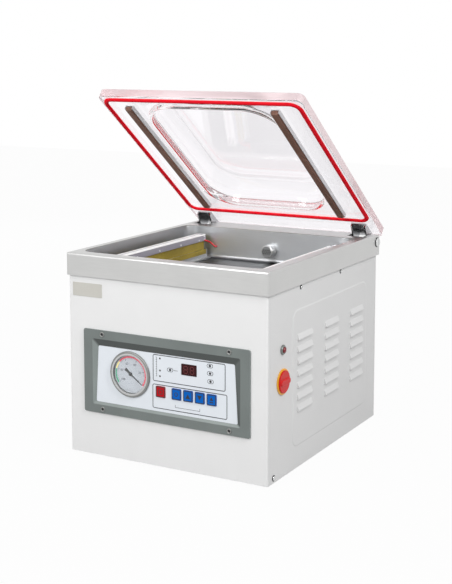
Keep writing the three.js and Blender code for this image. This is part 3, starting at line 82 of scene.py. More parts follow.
DISPLAY_X, DISPLAY_Z, DISPLAY_FACE = 56.6, 215.9, 4.1
SIDE_X, RIM_SIDE = 233.5, 238

# Sizes and places of what only this file makes, read off the photograph or chosen
CAMERA_LENS, CAMERA_SHIFT, CAMERA_PLACE = 75.65, -0.17, (1280.3, -2040.2, 856.3)
CAMERA_TILT, CAMERA_TURN = 83.185, 29.125
# Heights between which the chamber tub's colour takes painted shade towards its floor, and the
# share left where it is darkest
DARK_BELOW, BRIGHT_ABOVE, DARKEST_SHARE = 357, 364, 0.15
MOUTH, FOOT = 10, 8
PAD_ROUND, BAG_ROUND = 2.4, 3.4
CHANNEL_HALF, CHANNEL_TOP, FACING_BOTTOM = 12.3, 377.9, 367.4
PORT_HOLE, PORT_DISC = 1.7, 12.4
BAR_SCREWS = ((62, 403), (153, 403), (244, 403), (335, 403), (418, 402), (442, 402), (441, 409.5))
CLAMP_WIDTH, CLAMP_LENGTH, CLAMP_INSET, CLAMP_SCREW_X = 17.6, 12, 9, 6
SIDE_SCREWS = ((147.3, 376.7, 3.3), (342.8, 377.1, 3.3), (29.4, 16.9, 4.6))
WASHER_RIM = 1.3
BAR_HEAD, CLAMP_HEAD, BEZEL_HEAD = (2.3, 1.6, 1), (2.1, 0.55, 1), (5.5, 2, 3)
PIVOT_RING = (9.6, 11.2, 0.9)
PRINT_FRAMES = ((168.4, 55.5, (55.8, 211.2)), (173.4, 50.5, (57.3, 152.5)))
PRINT_LINES = (
    (21, 210.4, 31, 211.2), (-19.6, 193.9, -18.8, 233.2), (24, 134.9, 81.8, 135.7),
    (24, 134.9, 24.8, 140.6), (81, 134.9, 81.8, 140.6),
)
OVALS = ((12.7, 210.9), (104.7, 230.8), (105.2, 215.6), (106.1, 199.3))
INDICATORS = ((-11.4, 231.4), (-11.4, 206.6), (-11.4, 194.9))
LEVEL_TICKS, LEVEL_BOTTOM, LEVEL_PITCH = 9, 194, 4.9
DIGIT_X, DIGIT_LEVEL, STROKE_X = 7.4, 7, 4.1
STROKE_WIDE, STROKE_FLAT, STROKE_TALL = 1, 6.4, 5.2
SCALE_SWEEP, SCALE_TICKS, TICKS_PER_NUMBER = 252, 50, 10
TICK_END, MAJOR_START, MINOR_START = 33.6, 28.5, 31
NUMERAL_SIZE, NUMERAL_RADIUS = 7, 22.5
ARC_INNER, ARC_OUTER = 34.2, 37.2
RING_INNER, RING_OUTER = 40.2, 43.8
PLATE_WIDTH, PLATE_HEIGHT, PLATE_PLACE = 73, 28.5, (-187.5, 355)

rim_low, rim_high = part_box("top_rim")
MACHINE = (
    Matrix.Translation(((rim_low[0] + rim_high[0]) / 2, rim_low[1], 0)) @ Matrix.Scale(METRE, 4)
)
LID = (
    MACHINE
    @ Matrix.Translation((0, PIVOT_Y, PIVOT_Z))
    @ Matrix.Rotation(math.radians(-LID_OPEN), 4, "X")
)
FRONTWARD = Matrix.Rotation(QUARTER, 4, "X")
RIGHTWARD = Matrix.Rotation(QUARTER, 4, "Y")
HALF_TURN = Matrix.Rotation(2 * QUARTER, 4, "Z")


# Camera
def add_camera():
    """The photograph's view, fitted to the machine's corners with a shift that other views bear."""
    data = bpy.data.cameras.new("camera")
    data.lens = CAMERA_LENS
    data.shift_y = CAMERA_SHIFT
    camera = bpy.data.objects.new("camera", data)
    camera.location = MACHINE @ Vector(CAMERA_PLACE)
    camera.rotation_euler = (math.radians(CAMERA_TILT), 0, math.radians(CAMERA_TURN))
    bpy.context.scene.collection.objects.link(camera)
    bpy.context.scene.camera = camera


# Finishes
def linear(code):
    """The scene-linear colour of a written #RRGGBB colour."""
    parts = [int(code[i:i + 2], 16) / 255 for i in (1, 3, 5)]
    return [p / 12.92 if p <= 0.04045 else ((p + 0.055) / 1.055) ** 2.4 for p in parts] + [1]


def noise(tree, scale, stretch=(1, 1, 1), detail=3):
    """A noise texture over the object's own coordinates, in metres."""
    place = tree.nodes.new("ShaderNodeTexCoord")
    mapping = tree.nodes.new("ShaderNodeMapping")
    texture = tree.nodes.new("ShaderNodeTexNoise")
    mapping.inputs["Scale"].default_value = stretch
    texture.inputs["Scale"].default_value = scale
    texture.inputs["Detail"].default_value = detail
    tree.links.new(place.outputs["Object"], mapping.inputs["Vector"])
    tree.links.new(mapping.outputs["Vector"], texture.inputs["Vector"])
    return texture.outputs["Fac"]


def remap(tree, value, low, high):
    """The middle of a noise's values, spread from low to high."""
    node = tree.nodes.new("ShaderNodeMapRange")
    for name, number in (("From Min", 0.3), ("From Max", 0.7), ("To Min", low), ("To Max", high)):
        node.inputs[name].default_value = number
    tree.links.new(value, node.inputs["Value"])
    return node.outputs["Result"]


def finish(name, code, rough, metal=0, grain=900, stretch=(1, 1, 1), shade=0.05, relief=0.01,
           spread=0.06, **sockets):
    """A surface with grain: its colour, roughness and height all vary with the noise."""
    material = bpy.data.materials.new(f"look_{name}")
    material.use_nodes = True
    tree = material.node_tree
    shader = tree.nodes["Principled BSDF"]
    shader.inputs["Metallic"].default_value = metal
    for socket, value in sockets.items():
        shader.inputs[socket.replace("_", " ")].default_value = value
    fine = noise(tree, grain, stretch)
    broad = noise(tree, 14)
    colour = linear(code)
    ramp = tree.nodes.new("ShaderNodeValToRGB")
    ramp.color_ramp.elements[0].position = 0.3
    ramp.color_ramp.elements[1].position = 0.7
    ramp.color_ramp.elements[0].color = [c * (1 - shade) for c in colour[:3]] + [1]
    ramp.color_ramp.elements[1].color = [min(1, c * (1 + shade)) for c in colour[:3]] + [1]
    both = tree.nodes.new("ShaderNodeMath")
    both.operation = "ADD"
    halves = [remap(tree, value, 0, 0.5) for value in (fine, broad)]
    for k, half in enumerate(halves):
        tree.links.new(half, both.inputs[k])
    tree.links.new(both.outputs[0], ramp.inputs["Fac"])
    tree.links.new(ramp.outputs["Color"], shader.inputs["Base Color"])
    rougher = remap(tree, fine, rough - spread / 2, rough + spread / 2)
    tree.links.new(rougher, shader.inputs["Roughness"])
    bump = tree.nodes.new("ShaderNodeBump")
    bump.inputs["Distance"].default_value = relief * METRE
    tree.links.new(fine, bump.inputs["Height"])
    tree.links.new(bump.outputs["Normal"], shader.inputs["Normal"])
    return material


BRUSHED = (30, 30, 1000)
FINISHES = {
    "cabinet_paint": dict(code="#E4E4E4", rough=0.5, grain=1400, shade=0.008, relief=0.02),
    "stainless": dict(
        code="#C9C9C8", rough=0.36, metal=1, grain=1, stretch=BRUSHED, shade=0.02, relief=0.004),
    "polished_steel": dict(code="#D6D7D7", rough=0.14, metal=1, shade=0.03, relief=0.003),
    "spring_steel": dict(code="#8D8F90", rough=0.34, metal=1, shade=0.1),
    "aluminium": dict(
        code="#CFD0D1", rough=0.38, metal=1, grain=1, stretch=(1200, 40, 1200), shade=0.05),
    "red_silicone": dict(
        code="#E60720", rough=0.6, grain=1600, shade=0.05, relief=0.02, Specular_IOR_Level=0.15),
    "brown_silicone": dict(code="#7C5A4C", rough=0.7, grain=1500, shade=0.16, relief=0.12),
    # Tape and side strip of the seal bars: real parts whose colours paint light on the bar's top
    # and shade on its side
    "white_tape": dict(code="#EDEDEC", rough=0.45, grain=1500, shade=0.02, relief=0.02),
    "strip_grey": dict(code="#ACA9B4", rough=0.45, metal=0.2, shade=0.04),
    "pale_steel": dict(code="#F0F0F0", rough=0.35, metal=0.3, shade=0.03, relief=0.003),
    "yellow_board": dict(
        code="#A08C34", rough=0.5, grain=1, stretch=(900, 120, 900), shade=0.14, relief=0.02),
    "nichrome": dict(
        code="#D4D5D6", rough=0.3, metal=1, grain=1, stretch=(900, 60, 900), shade=0.08),
    "grey_silicone": dict(code="#B9B9B4", rough=0.7, shade=0.08, relief=0.03),
    "red_lead": dict(code="#C0142D", rough=0.35, shade=0.06),
    "grey_plastic": dict(code="#6E7573", rough=0.5, grain=1800, shade=0.06, relief=0.03),
    "face_white": dict(code="#DFE4EA", rough=0.4, grain=500, shade=0.01, relief=0.003),
    "dial_white": dict(code="#90959B", rough=0.6, shade=0.01, relief=0.003),
    "pointer_black": dict(code="#151515", rough=0.4, shade=0.1),
    "red_key": dict(code="#B4131C", rough=0.4, shade=0.05, Specular_IOR_Level=0.1),
    "blue_key": dict(code="#0360BC", rough=0.4, shade=0.05, Specular_IOR_Level=0.1),
    "display_red": dict(
        code="#32080B", rough=0.2, shade=0.08, relief=0.002, Specular_IOR_Level=0.2),
    "board_green": dict(code="#1F6B42", rough=0.4, grain=700, shade=0.12),
    "switch_yellow": dict(code="#F5B432", rough=0.35, shade=0.04),
    "switch_red": dict(
        code="#CE0B0C", rough=0.35, shade=0.05, relief=0.006, Specular_IOR_Level=0.3),
    "lens_red": dict(code="#7E1A22", rough=0.2, shade=0.1, relief=0.003),
    "black_rubber": dict(code="#1C1C1C", rough=0.75, shade=0.2, relief=0.05),
    "pump_grey": dict(code="#7D858A", rough=0.55, metal=0.3, grain=1300, shade=0.1, relief=0.06),
    "motor_blue": dict(code="#3F4A52", rough=0.5, metal=0.2, grain=1300, shade=0.1, relief=0.05),
    "core_steel": dict(
        code="#54504C", rough=0.5, metal=0.8, grain=1, stretch=(40, 1500, 40), shade=0.2),
    "brass_metal": dict(code="#B08D3C", rough=0.28, metal=1, shade=0.06),
    "print_grey": dict(code="#3E4247", rough=0.5, shade=0.05, relief=0.002),
    "print_black": dict(code="#1E1F22", rough=0.5, shade=0.05, relief=0.002),
    "arc_green": dict(code="#14805C", rough=0.5, shade=0.04, relief=0.002),
    "arc_yellow": dict(code="#D2C373", rough=0.5, shade=0.04, relief=0.002),
    "arc_red": dict(code="#BE2240", rough=0.5, shade=0.04, relief=0.002),
    "digit_red": dict(code="#6C1D23", rough=0.3, shade=0.05, relief=0.002),
    "plate_silver": dict(
        code="#C2C3C3", rough=0.3, metal=1, grain=1, stretch=(60, 60, 1500), shade=0.05),
    "dark_steel": dict(code="#3A3B3C", rough=0.35, metal=1, shade=0.1),
    "bracket_steel": dict(code="#B4B5B7", rough=0.25, metal=1, shade=0.06, relief=0.003),
    "lamp_steel": dict(code="#7E827F", rough=0.3, metal=1, shade=0.04, relief=0.003),
    "ring_steel": dict(code="#8C8D8B", rough=0.38, metal=1, shade=0.04, relief=0.003),
    "plate_pale": dict(code="#C6C4BD", rough=0.35, metal=0.5, shade=0.03, relief=0.003),
    "port_grey": dict(code="#8C8E8F", rough=0.45, metal=0.5, shade=0.03, relief=0.003),
    "port_steel": dict(code="#C4C5C5", rough=0.35, metal=0.7, shade=0.03, relief=0.003),
    "tub_steel": dict(
        code="#C9CBCE", rough=0.4, metal=1, grain=1, stretch=BRUSHED, shade=0.02, relief=0.004),
    # The lid's sawn edge: its matte, half-clear finish is real, and its pink tint is a painted
    # reflection of the red gasket
    "acrylic_edge": dict(
        code="#EFD8DB", rough=0.5, shade=0.03, relief=0.03, Transmission_Weight=0.5, IOR=1.49),
}
looks = {name: finish(name, **facts) for name, facts in FINISHES.items()}


def scale_colour(tree, factor):
    """Multiplies a finish's colour by a node's value."""
    shader = tree.nodes["Principled BSDF"]
    colour = shader.inputs["Base Color"].links[0].from_socket
    scaled = tree.nodes.new("ShaderNodeVectorMath")
    scaled.operation = "SCALE"
    tree.links.new(colour, scaled.inputs[0])
    tree.links.new(factor, scaled.inputs["Scale"])
    tree.links.new(scaled.outputs["Vector"], shader.inputs["Base Color"])


def paint_shade_low(material, low, high, level):
    """Paints shade into the colour: takes it down to a share of itself between two heights, given
    in metres.
    """
    tree = material.node_tree
    place = tree.nodes.new("ShaderNodeTexCoord")
    split = tree.nodes.new("ShaderNodeSeparateXYZ")
    tree.links.new(place.outputs["Object"], split.inputs[0])
    share = tree.nodes.new("ShaderNodeMapRange")
    for name, number in (("From Min", low), ("From Max", high), ("To Min", level)):
        share.inputs[name].default_value = number
    tree.links.new(split.outputs["Z"], share.inputs["Value"])
    scale_colour(tree, share.outputs["Result"])


def paint_shade_by_facing(material, rightward, upward, low, high):
    """Paints shade into a frame's faces that turn down or left into its recess, and painted light
    into the others.
    """
    tree = material.node_tree
    facing = tree.nodes.new("ShaderNodeNewGeometry")
    turned_to = tree.nodes.new("ShaderNodeVectorMath")
    turned_to.operation = "DOT_PRODUCT"
    turned_to.inputs[1].default_value = (rightward, 0, upward)
    tree.links.new(facing.outputs["True Normal"], turned_to.inputs[0])
    share = tree.nodes.new("ShaderNodeMath")
    share.operation = "ADD"
    share.inputs[1].default_value = 1
    tree.links.new(turned_to.outputs["Value"], share.inputs[0])
    kept = tree.nodes.new("ShaderNodeClamp")
    kept.inputs["Min"].default_value = low
    kept.inputs["Max"].default_value = high
    tree.links.new(share.outputs[0], kept.inputs["Value"])
    scale_colour(tree, kept.outputs["Result"])


# Painted shade: the tub's steel darkens towards its floor
paint_shade_low(looks["tub_steel"], DARK_BELOW * METRE, BRIGHT_ABOVE * METRE, DARKEST_SHARE)
# Painted shade and painted light: the grey plastic darkens where it turns down or left into the
# bezel's recess, and lightens where it turns up or right
paint_shade_by_facing(looks["grey_plastic"], 2, 3.4, 0.36, 1.4)
BOUNCES_INSIDE = 3.5


def clear(name, code, rough, index):
    """A clear solid that lets light through to what it covers, with a faintly uneven gloss.

    Rays that have been reflected often inside it leave straight, so that none ends there.
    """
    material = bpy.data.materials.new(f"look_{name}")
    material.use_nodes = True
    tree = material.node_tree
    shader = tree.nodes["Principled BSDF"]
    shader.inputs["Base Color"].default_value = linear(code)
    shader.inputs["Transmission Weight"].default_value = 1
    shader.inputs["IOR"].default_value = index
    gloss = remap(tree, noise(tree, 30), rough, rough + 0.02)
    tree.links.new(gloss, shader.inputs["Roughness"])
    through = tree.nodes.new("ShaderNodeBsdfTransparent")
    path = tree.nodes.new("ShaderNodeLightPath")
    mix = tree.nodes.new("ShaderNodeMixShader")
    late = tree.nodes.new("ShaderNodeMath")
    late.operation = "GREATER_THAN"
    late.inputs[1].default_value = BOUNCES_INSIDE
    tree.links.new(path.outputs["Ray Depth"], late.inputs[0])
    either = tree.nodes.new("ShaderNodeMath")
    either.operation = "MAXIMUM"
    tree.links.new(path.outputs["Is Shadow Ray"], either.inputs[0])
    tree.links.new(late.outputs[0], either.inputs[1])
    tree.links.new(either.outputs[0], mix.inputs["Fac"])
    tree.links.new(shader.outputs["BSDF"], mix.inputs[1])
    tree.links.new(through.outputs["BSDF"], mix.inputs[2])
    tree.links.new(mix.outputs["Shader"], tree.nodes["Material Output"].inputs["Surface"])
    return material


looks["clear_acrylic"] = clear("clear_acrylic", "#FEFCFF", 0.0, 1.49)
looks["clear_glass"] = clear("clear_glass", "#FFFFFF", 0.0, 1.45)


# Forms: a form is its points and faces in millimetres
def round_rect(width, height, radius, middle=(0, 0), steps=6):
    """A rectangle with round corners, anticlockwise."""
    points = []
    for turn, (right, up) in enumerate(((1, 1), (-1, 1), (-1, -1), (1, -1))):
        u = middle[0] + right * (width / 2 - radius)
        v = middle[1] + up * (height / 2 - radius)
        for i in range(steps + 1):
            angle = QUARTER * (turn + i / steps)
            points.append((u + radius * math.cos(angle), v + radius * math.sin(angle)))
    return points


def circle(radius, sides=32, middle=(0, 0)):
    """A regular polygon that stands for a circle, anticlockwise."""
    angles = [4 * QUARTER * i / sides for i in range(sides)]
    return [(middle[0] + radius * math.cos(a), middle[1] + radius * math.sin(a)) for a in angles]


def loft(rings, closed=False):
    """A skin over rings of equal length. The last ring of a closed one meets its first."""
    count = len(rings[0])
    points = [tuple(point) for ring in rings for point in ring]
    faces = []
    for i in range(len(rings) if closed else len(rings) - 1):
        here, there = i * count, (i + 1) % len(rings) * count
        for k in range(count):
            after = (k + 1) % count
            faces.append((here + k, here + after, there + after, there + k))
    if not closed:
        faces.append(tuple(reversed(range(count))))
        faces.append(tuple(range(len(points) - count, len(points))))
    return points, faces


def raised(outline, z):
    """A flat outline at a height."""
    return [(u, v, z) for u, v in outline]


def prism(outline, z0, z1):
    """An upright body on an outline."""
    return loft([raised(outline, z0), raised(outline, z1)])


def flat_ring(inner, outer, high):
    """A flat ring about Z."""
    return loft([raised(circle(inner), 0), raised(circle(outer), 0), raised(circle(outer), high),
                 raised(circle(inner), high)], closed=True)


def moved(form, matrix):
    """A form carried by a matrix."""
    points, faces = form
    return [tuple(matrix @ Vector(point)) for point in points], faces


def shifted(form, x=0, y=0, z=0):
    """A form pushed along the axes."""
    return moved(form, Matrix.Translation((x, y, z)))


def sideward(form, sign):
    """A form drawn with its height up, laid down so that it points right (1) or left (-1)."""
    right = moved(form, RIGHTWARD)
    return right if sign > 0 else moved(right, HALF_TURN)


def merged(forms):
    """Several forms as one."""
    points, faces = [], []
    for some, others in forms:
        start = len(points)
        points += some
        faces += [tuple(start + k for k in face) for face in others]
    return points, faces


def piece(name, form, place, look, body, soften=0.0, smooth=True):
    """Makes a piece of the scene from a form and lets it ride on a body of the CAD model."""
    mesh = bpy.data.meshes.new(name)
    work = bmesh.new()
    corners = [work.verts.new(place @ Vector(point)) for point in form[0]]
    for face in form[1]:
        work.faces.new([corners[k] for k in face])
    bmesh.ops.remove_doubles(work, verts=work.verts, dist=0.01 * METRE)
    bmesh.ops.recalc_face_normals(work, faces=work.faces)
    work.to_mesh(mesh)
    work.free()
    mesh.materials.append(looks[look])
    obj = bpy.data.objects.new(name, mesh)
    bpy.context.scene.collection.objects.link(obj)
    if smooth:
        dress(obj, soften)
    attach(obj, body)
    return obj


def dress(obj, soften, from_degrees=35, flat=False):
    """Round edges by a modifier, and smooth or flat shading. No point of the mesh moves."""
    if flat:
        obj.data.shade_flat()
    else:
        obj.data.shade_smooth()
    if soften:
        bevel = obj.modifiers.new("edges", "BEVEL")
        bevel.width = soften * METRE
        bevel.segments = 2
        bevel.limit_method = "ANGLE"
        bevel.angle_limit = math.radians(from_degrees)
        bevel.use_clamp_overlap = True
    if not flat:
        even = obj.modifiers.new("shading", "WEIGHTED_NORMAL")
        even.keep_sharp = True


# CAD nodes that stay: their own shapes with slightly round edges
SOFTEN = {
    "top_rim": 1, "chamber_tub": 0.4, "panel_bezel": 0.6, "front_panel": 1.2,
    "main_switch_knob": 0.8, "main_switch_body": 0.5, "left_hinge_bracket": 0.5,
    "right_hinge_bracket": 0.5, "gauge_case": 0.4, "vacuum_port": 0.3,
}
SOFTEN_MOST = 0.25
WELD_GAP = 0.002
FLAT_WITHIN = 0.5
SHARP_FROM = 35
CRISP = {
    "panel_bezel": 6, "top_rim": 6, "front_panel": 6, "left_side_panel": 6, "right_side_panel": 6,
    "rear_panel": 6,
}
LOUVRED = ("left_side_panel", "right_side_panel", "rear_panel")
NODE_LOOKS = {
    "chamber_tub": "tub_steel", "power_lamp_lens": "lens_red", "gauge_case": "ring_steel",
    "power_lamp_ring": "lamp_steel", "vacuum_port": "port_steel",
    "left_hinge_bracket": "bracket_steel", "right_hinge_bracket": "bracket_steel",
}


def dress_nodes():
    """Gives every CAD node its look and its edges, and leaves its points and faces as they are."""
    for name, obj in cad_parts.items():
        for k, material in enumerate(obj.data.materials):
            look = NODE_LOOKS.get(name, material.name.split(".")[0])
            obj.data.materials[k] = looks[look]
        weld = obj.modifiers.new("weld", "WELD")
        weld.merge_threshold = WELD_GAP * METRE
        planes = obj.modifiers.new("planes", "DECIMATE")
        planes.decimate_type = "DISSOLVE"
        planes.angle_limit = math.radians(FLAT_WITHIN)
        dress(obj, SOFTEN.get(name, SOFTEN_MOST), CRISP.get(name, SHARP_FROM), name in LOUVRED)


# Lid
def dome_ring(inset, grow, z):
    """The dome's outline at a height: drawn in by a share of its slopes, and grown all round."""
    width = DOME_WIDTH - 2 * DOME_SIDE * inset + 2 * grow
    length = DOME_LENGTH - (DOME_FRONT + DOME_REAR) * inset + 2 * grow
    corner = DOME_CORNER - DOME_SIDE * inset / 2 + grow
    middle = DOME_MIDDLE + (DOME_FRONT - DOME_REAR) * inset / 2
    return raised(round_rect(width, length, corner, (0, middle), 12), z)


def dome_rings(grow, depth):
    """Rings from the mouth to the crown, on a quarter of an ellipse."""
    steps = 14
    rings = []
    for i in range(steps + 1):
        angle = QUARTER * i / steps
        rings.append(dome_ring(1 - math.cos(angle), grow, LID_INNER + depth * math.sin(angle)))
    return rings


def ring_outline(grow, z, steps=12):
    """The line of the gasket's groove, grown all round."""
    width = RING_WIDTH + 2 * grow
    length = RING_REAR - RING_FRONT + 2 * grow
    middle = (0, (RING_FRONT + RING_REAR) / 2)
    return raised(round_rect(width, length, RING_CORNER + grow, middle, steps), z)


def sheet_ring(inset, z):
    """The outline of the lid's sheet, drawn in all round."""
    length = LID_REAR - LID_FRONT - 2 * inset
    middle = (0, (LID_FRONT + LID_REAR) / 2)
    return raised(round_rect(LID_WIDTH - 2 * inset, length, LID_CORNER - inset, middle, 12), z)


def add_lid():
    """The lid from the crown's inside, round the mouth, groove and edge, to the crown's outside."""
    top = LID_INNER + LID_THICKNESS
    inside = dome_rings(0, DOME_DEPTH)
    turns = [QUARTER * i / 5 for i in range(6)]
    lip = [dome_ring(0, MOUTH * (1 - math.cos(a)), LID_INNER + MOUTH * (1 - math.sin(a)))
           for a in turns]
    groove = [
        ring_outline(-GROOVE_HALF, LID_INNER),
        ring_outline(-GROOVE_HALF, LID_INNER + GROOVE_DEPTH),
        ring_outline(GROOVE_HALF, LID_INNER + GROOVE_DEPTH),
        ring_outline(GROOVE_HALF, LID_INNER),
    ]
    edge = [
        sheet_ring(LID_EDGE, LID_INNER),
        sheet_ring(0, LID_INNER + LID_EDGE),
        sheet_ring(0, top - LID_EDGE),
        sheet_ring(LID_EDGE, top),
    ]
    outside = [r for r in dome_rings(DOME_WALL, DOME_DEPTH + DOME_WALL) if r[0][2] > top + FOOT]
    foot = [dome_ring(0.02, DOME_WALL + FOOT * (1 - math.sin(a)), top + FOOT * (1 - math.cos(a)))
            for a in turns]
    kept_inside = [r for r in inside if r[0][2] > LID_INNER + MOUTH]
    rings = kept_inside[::-1] + lip + groove + edge + foot + outside
    lid = piece("lid_clear", loft(rings), LID, "clear_acrylic", "lid")
    lid.data.materials.append(looks["acrylic_edge"])
    for face in lid.data.polygons:
        if frosted(face):
            face.material_index = 1
    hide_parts("lid_panel")


def frosted(face):
    """The sawn edge faces of the lid's sheet."""
    middle = LID.inverted() @ face.center
    beyond = abs(middle.x) > LID_WIDTH / 2 - 5 or not LID_FRONT + 5 < middle.y < LID_REAR - 5
    return beyond and LID_INNER + 1 < middle.z < LID_INNER + LID_THICKNESS - 1


def add_gasket():
    """A round-faced cord of silicone that stands out of the groove."""
    middle = GASKET_BOTTOM + GASKET_HALF
    rings = []
    for i in range(9):
        angle = math.pi + math.pi * i / 8
        across, up = GASKET_HALF * math.cos(angle), GASKET_HALF * math.sin(angle)
        rings.append(ring_outline(across, middle + up))
    rings.append(ring_outline(GASKET_HALF, GASKET_TOP))
    rings.append(ring_outline(-GASKET_HALF, GASKET_TOP))
    gasket = piece("gasket_ring", loft(rings, closed=True), LID, "red_silicone", "lid")
    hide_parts("lid_gasket")


def crowned(half, bottom, top, length, middle_y, crown):
    """A long soft strip whose section is round at the corners and whose ends pull in."""
    steps = 10
    rings = []
    for k, share in ((0, 0.86), (0.004, 0.97), (0.012, 1), (0.5, 1), (0.988, 1), (0.996, 0.97),
                     (1, 0.86)):
        y = middle_y + length * (k - 0.5)
        tall = (top - bottom) * share
        section = round_rect(2 * half * share, tall, min(crown, tall / 2.2), (0, 0), steps)
        rings.append([(u, y, (top + bottom) / 2 + v) for u, v in section])
    return loft(rings)


def add_pads():
    """The soft pads in the lid that the seal bars press against."""
    for side, sign in SIDES:
        form = crowned(PAD_HALF, PAD_FACE, PAD_TOP, PAD_LENGTH, CHAMBER_MIDDLE - PIVOT_Y,
                       PAD_ROUND)
        pad = piece(f"{side}_pad", shifted(form, sign * BAR_X), LID, "brown_silicone", "lid")
        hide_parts(f"{side}_pressure_pad")


# Seal bars
def add_bags():
    """The flat air bags that lift the seal bars."""
    for side, sign in SIDES:
        form = crowned(BAG_HALF, BAG_BOTTOM, BAG_TOP, BAR_LENGTH, CHAMBER_MIDDLE, BAG_ROUND)
        bag = piece(f"{side}_bag", shifted(form, sign * BAR_X), MACHINE, "grey_silicone",
                    "cabinet")
        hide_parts(f"{side}_air_bag")


def smooth_path(points, steps):
    """Points along a curve that passes through the given ones."""
    held = [Vector(p) for p in (points[0], *points, points[-1])]
    path = []
    for a, b, c, d in zip(held, held[1:], held[2:], held[3:]):
        for i in range(steps):
            t = i / steps
            path.append(0.5 * (2 * b + (c - a) * t + (2 * a - 5 * b + 4 * c - d) * t ** 2
                               + (3 * b - a - 3 * c + d) * t ** 3))
    return path + [held[-1]]


def tube(path, radius, sides=16):
    """A round skin along a path that is nowhere upright."""
    rings = []
    for i, point in enumerate(path):
        along = (path[min(i + 1, len(path) - 1)] - path[max(i - 1, 0)]).normalized()
        across = along.cross(Vector((0, 0, 1))).normalized()
        up = across.cross(along)
        rings.append([tuple(point + across * u + up * v) for u, v in circle(radius, sides)])
    return loft(rings)


def add_leads():
    """The leads from the bars' rear ends, through the air, to the chamber's rear wall."""
    for side, sign in SIDES:
        inner = sign * (BAR_X - BAR_HALF)
        x, wall = inner - sign * SEAT_GAP, CHAMBER_REAR - SEAT_GAP
        y, z = CHAMBER_MIDDLE + BAR_LENGTH / 2 - LEAD_INSET, BAR_TOP - LEAD_DROP
        points = [
            (x, y, z),
            (x - sign * 2 * LEAD_RADIUS, y, z),
            (inner - sign * LEAD_REACH / 2, (y + wall) / 2, z - LEAD_SAG / 3),
            (inner - sign * LEAD_REACH, wall - 3 * LEAD_RADIUS, z - LEAD_SAG),
            (inner - sign * LEAD_REACH, wall, z - LEAD_SAG),
        ]
        path = smooth_path(points, 8)
        lead = piece(f"{side}_lead", tube(path, LEAD_RADIUS), MACHINE, "red_lead", "cabinet")
        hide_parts(f"{side}_heater_lead")


def socket_head(radius, height, socket, sides=24):
    """A screw head about Z with a round edge and a hexagonal socket."""
    hexagon = []
    for k in range(sides):
        angle = 4 * QUARTER * k / sides
        part = (angle % (2 * QUARTER / 3)) - QUARTER / 3
        reach = socket / math.cos(part)
        hexagon.append((reach * math.cos(angle), reach * math.sin(angle)))
    edge = height * 0.35
    return loft([
        raised(circle(radius, sides), 0),
        raised(circle(radius, sides), height - edge),
        raised(circle(radius - edge * 0.3, sides), height - edge * 0.3),
        raised(circle(radius - edge, sides), height),
        raised(hexagon, height),
        raised(hexagon, height * 0.35),
    ])


def slotted_head(radius, height, slot_width, sides=24):
    """A domed screw head about Z with a straight slot across it."""
    across = []
    for k in range(sides):
        angle = 4 * QUARTER * k / sides
        u, v = radius * 0.8 * math.cos(angle), radius * 0.8 * math.sin(angle)
        across.append((u, max(-slot_width / 2, min(slot_width / 2, v))))
    return loft([
        raised(circle(radius, sides), 0),
        raised(circle(radius * 0.97, sides), height * 0.45),
        raised(circle(radius * 0.85, sides), height * 0.85),
        raised(across, height),
        raised(across, height * 0.4),
    ])


def along_bar(section, x=0):
    """A section in X and Z, drawn about the bar's middle, over the length of a seal bar."""
    half = BAR_LENGTH / 2 - 0.5
    rings = [[(x + u, CHAMBER_MIDDLE + end * half, v) for u, v in section] for end in (-1, 1)]
    return loft(rings)


def box_section(u0, v0, u1, v1):
    """The corners of an upright rectangle."""
    return [(u0, v0), (u1, v0), (u1, v1), (u0, v1)]


def add_bar_covers():
    """The white tape over each seal bar, the strip on its side and the facing of its channel. The
    tape's white paints light on the bar's top, and the strip's grey paints shade on its side.
    """
    half, top, edge = BAR_HALF + 0.1, BAR_TOP + 0.3, BAR_TOP - 1.4
    tape = [(-half, edge), (-BAR_FLAT, top), (BAR_FLAT, top), (half, edge),
            (half, edge - 0.5), (-half, edge - 0.5)]
    for side, sign in SIDES:
        piece(f"{side}_bar_tape", along_bar(tape, sign * BAR_X), MACHINE, "white_tape",
              f"{side}_bar")
        inner = sign * (BAR_X - BAR_HALF)
        strip = box_section(inner - sign * 0.5, BAR_TOP - 14.5, inner + sign * 0.5, BAR_TOP - 2.4)
        piece(f"{side}_bar_strip", along_bar(strip), MACHINE, "strip_grey", f"{side}_bar")
        wall = sign * (BAR_X - CHANNEL_HALF)
        facing = box_section(wall - sign * 0.6, FACING_BOTTOM, wall + sign * 0.3, CHANNEL_TOP + 0.4)
        piece(f"{side}_channel_facing", along_bar(facing), MACHINE, "yellow_board", "cabinet")


def add_bar_screws():
    """Screws in the side strips of the seal bars, and a clamp at each end of the heating strip.

    The clamps lie lower than the heating strip, so that they stay clear of the pads.
    """
    for side, sign in SIDES:
        inner = sign * (BAR_X - BAR_HALF - 0.4)
        heads = []
        for y, z in BAR_SCREWS:
            heads.append(shifted(sideward(socket_head(*BAR_HEAD), -sign), inner, y, z))
        piece(f"{side}_bar_screws", merged(heads), MACHINE, "pale_steel", f"{side}_bar")
        stops = []
        for end in (-1, 1):
            y = CHAMBER_MIDDLE + end * (BAR_LENGTH / 2 - CLAMP_INSET)
            outline = round_rect(CLAMP_WIDTH, CLAMP_LENGTH, 2, (sign * BAR_X, y), 4)
            stops.append(prism(outline, BAR_TOP + 0.2, BAR_TOP + 0.5))
            stops += [shifted(socket_head(*CLAMP_HEAD), sign * BAR_X + u, y, BAR_TOP + 0.1)
                      for u in (-CLAMP_SCREW_X, CLAMP_SCREW_X)]
        piece(f"{side}_strip_clamps", merged(stops), MACHINE, "spring_steel", f"{side}_bar")


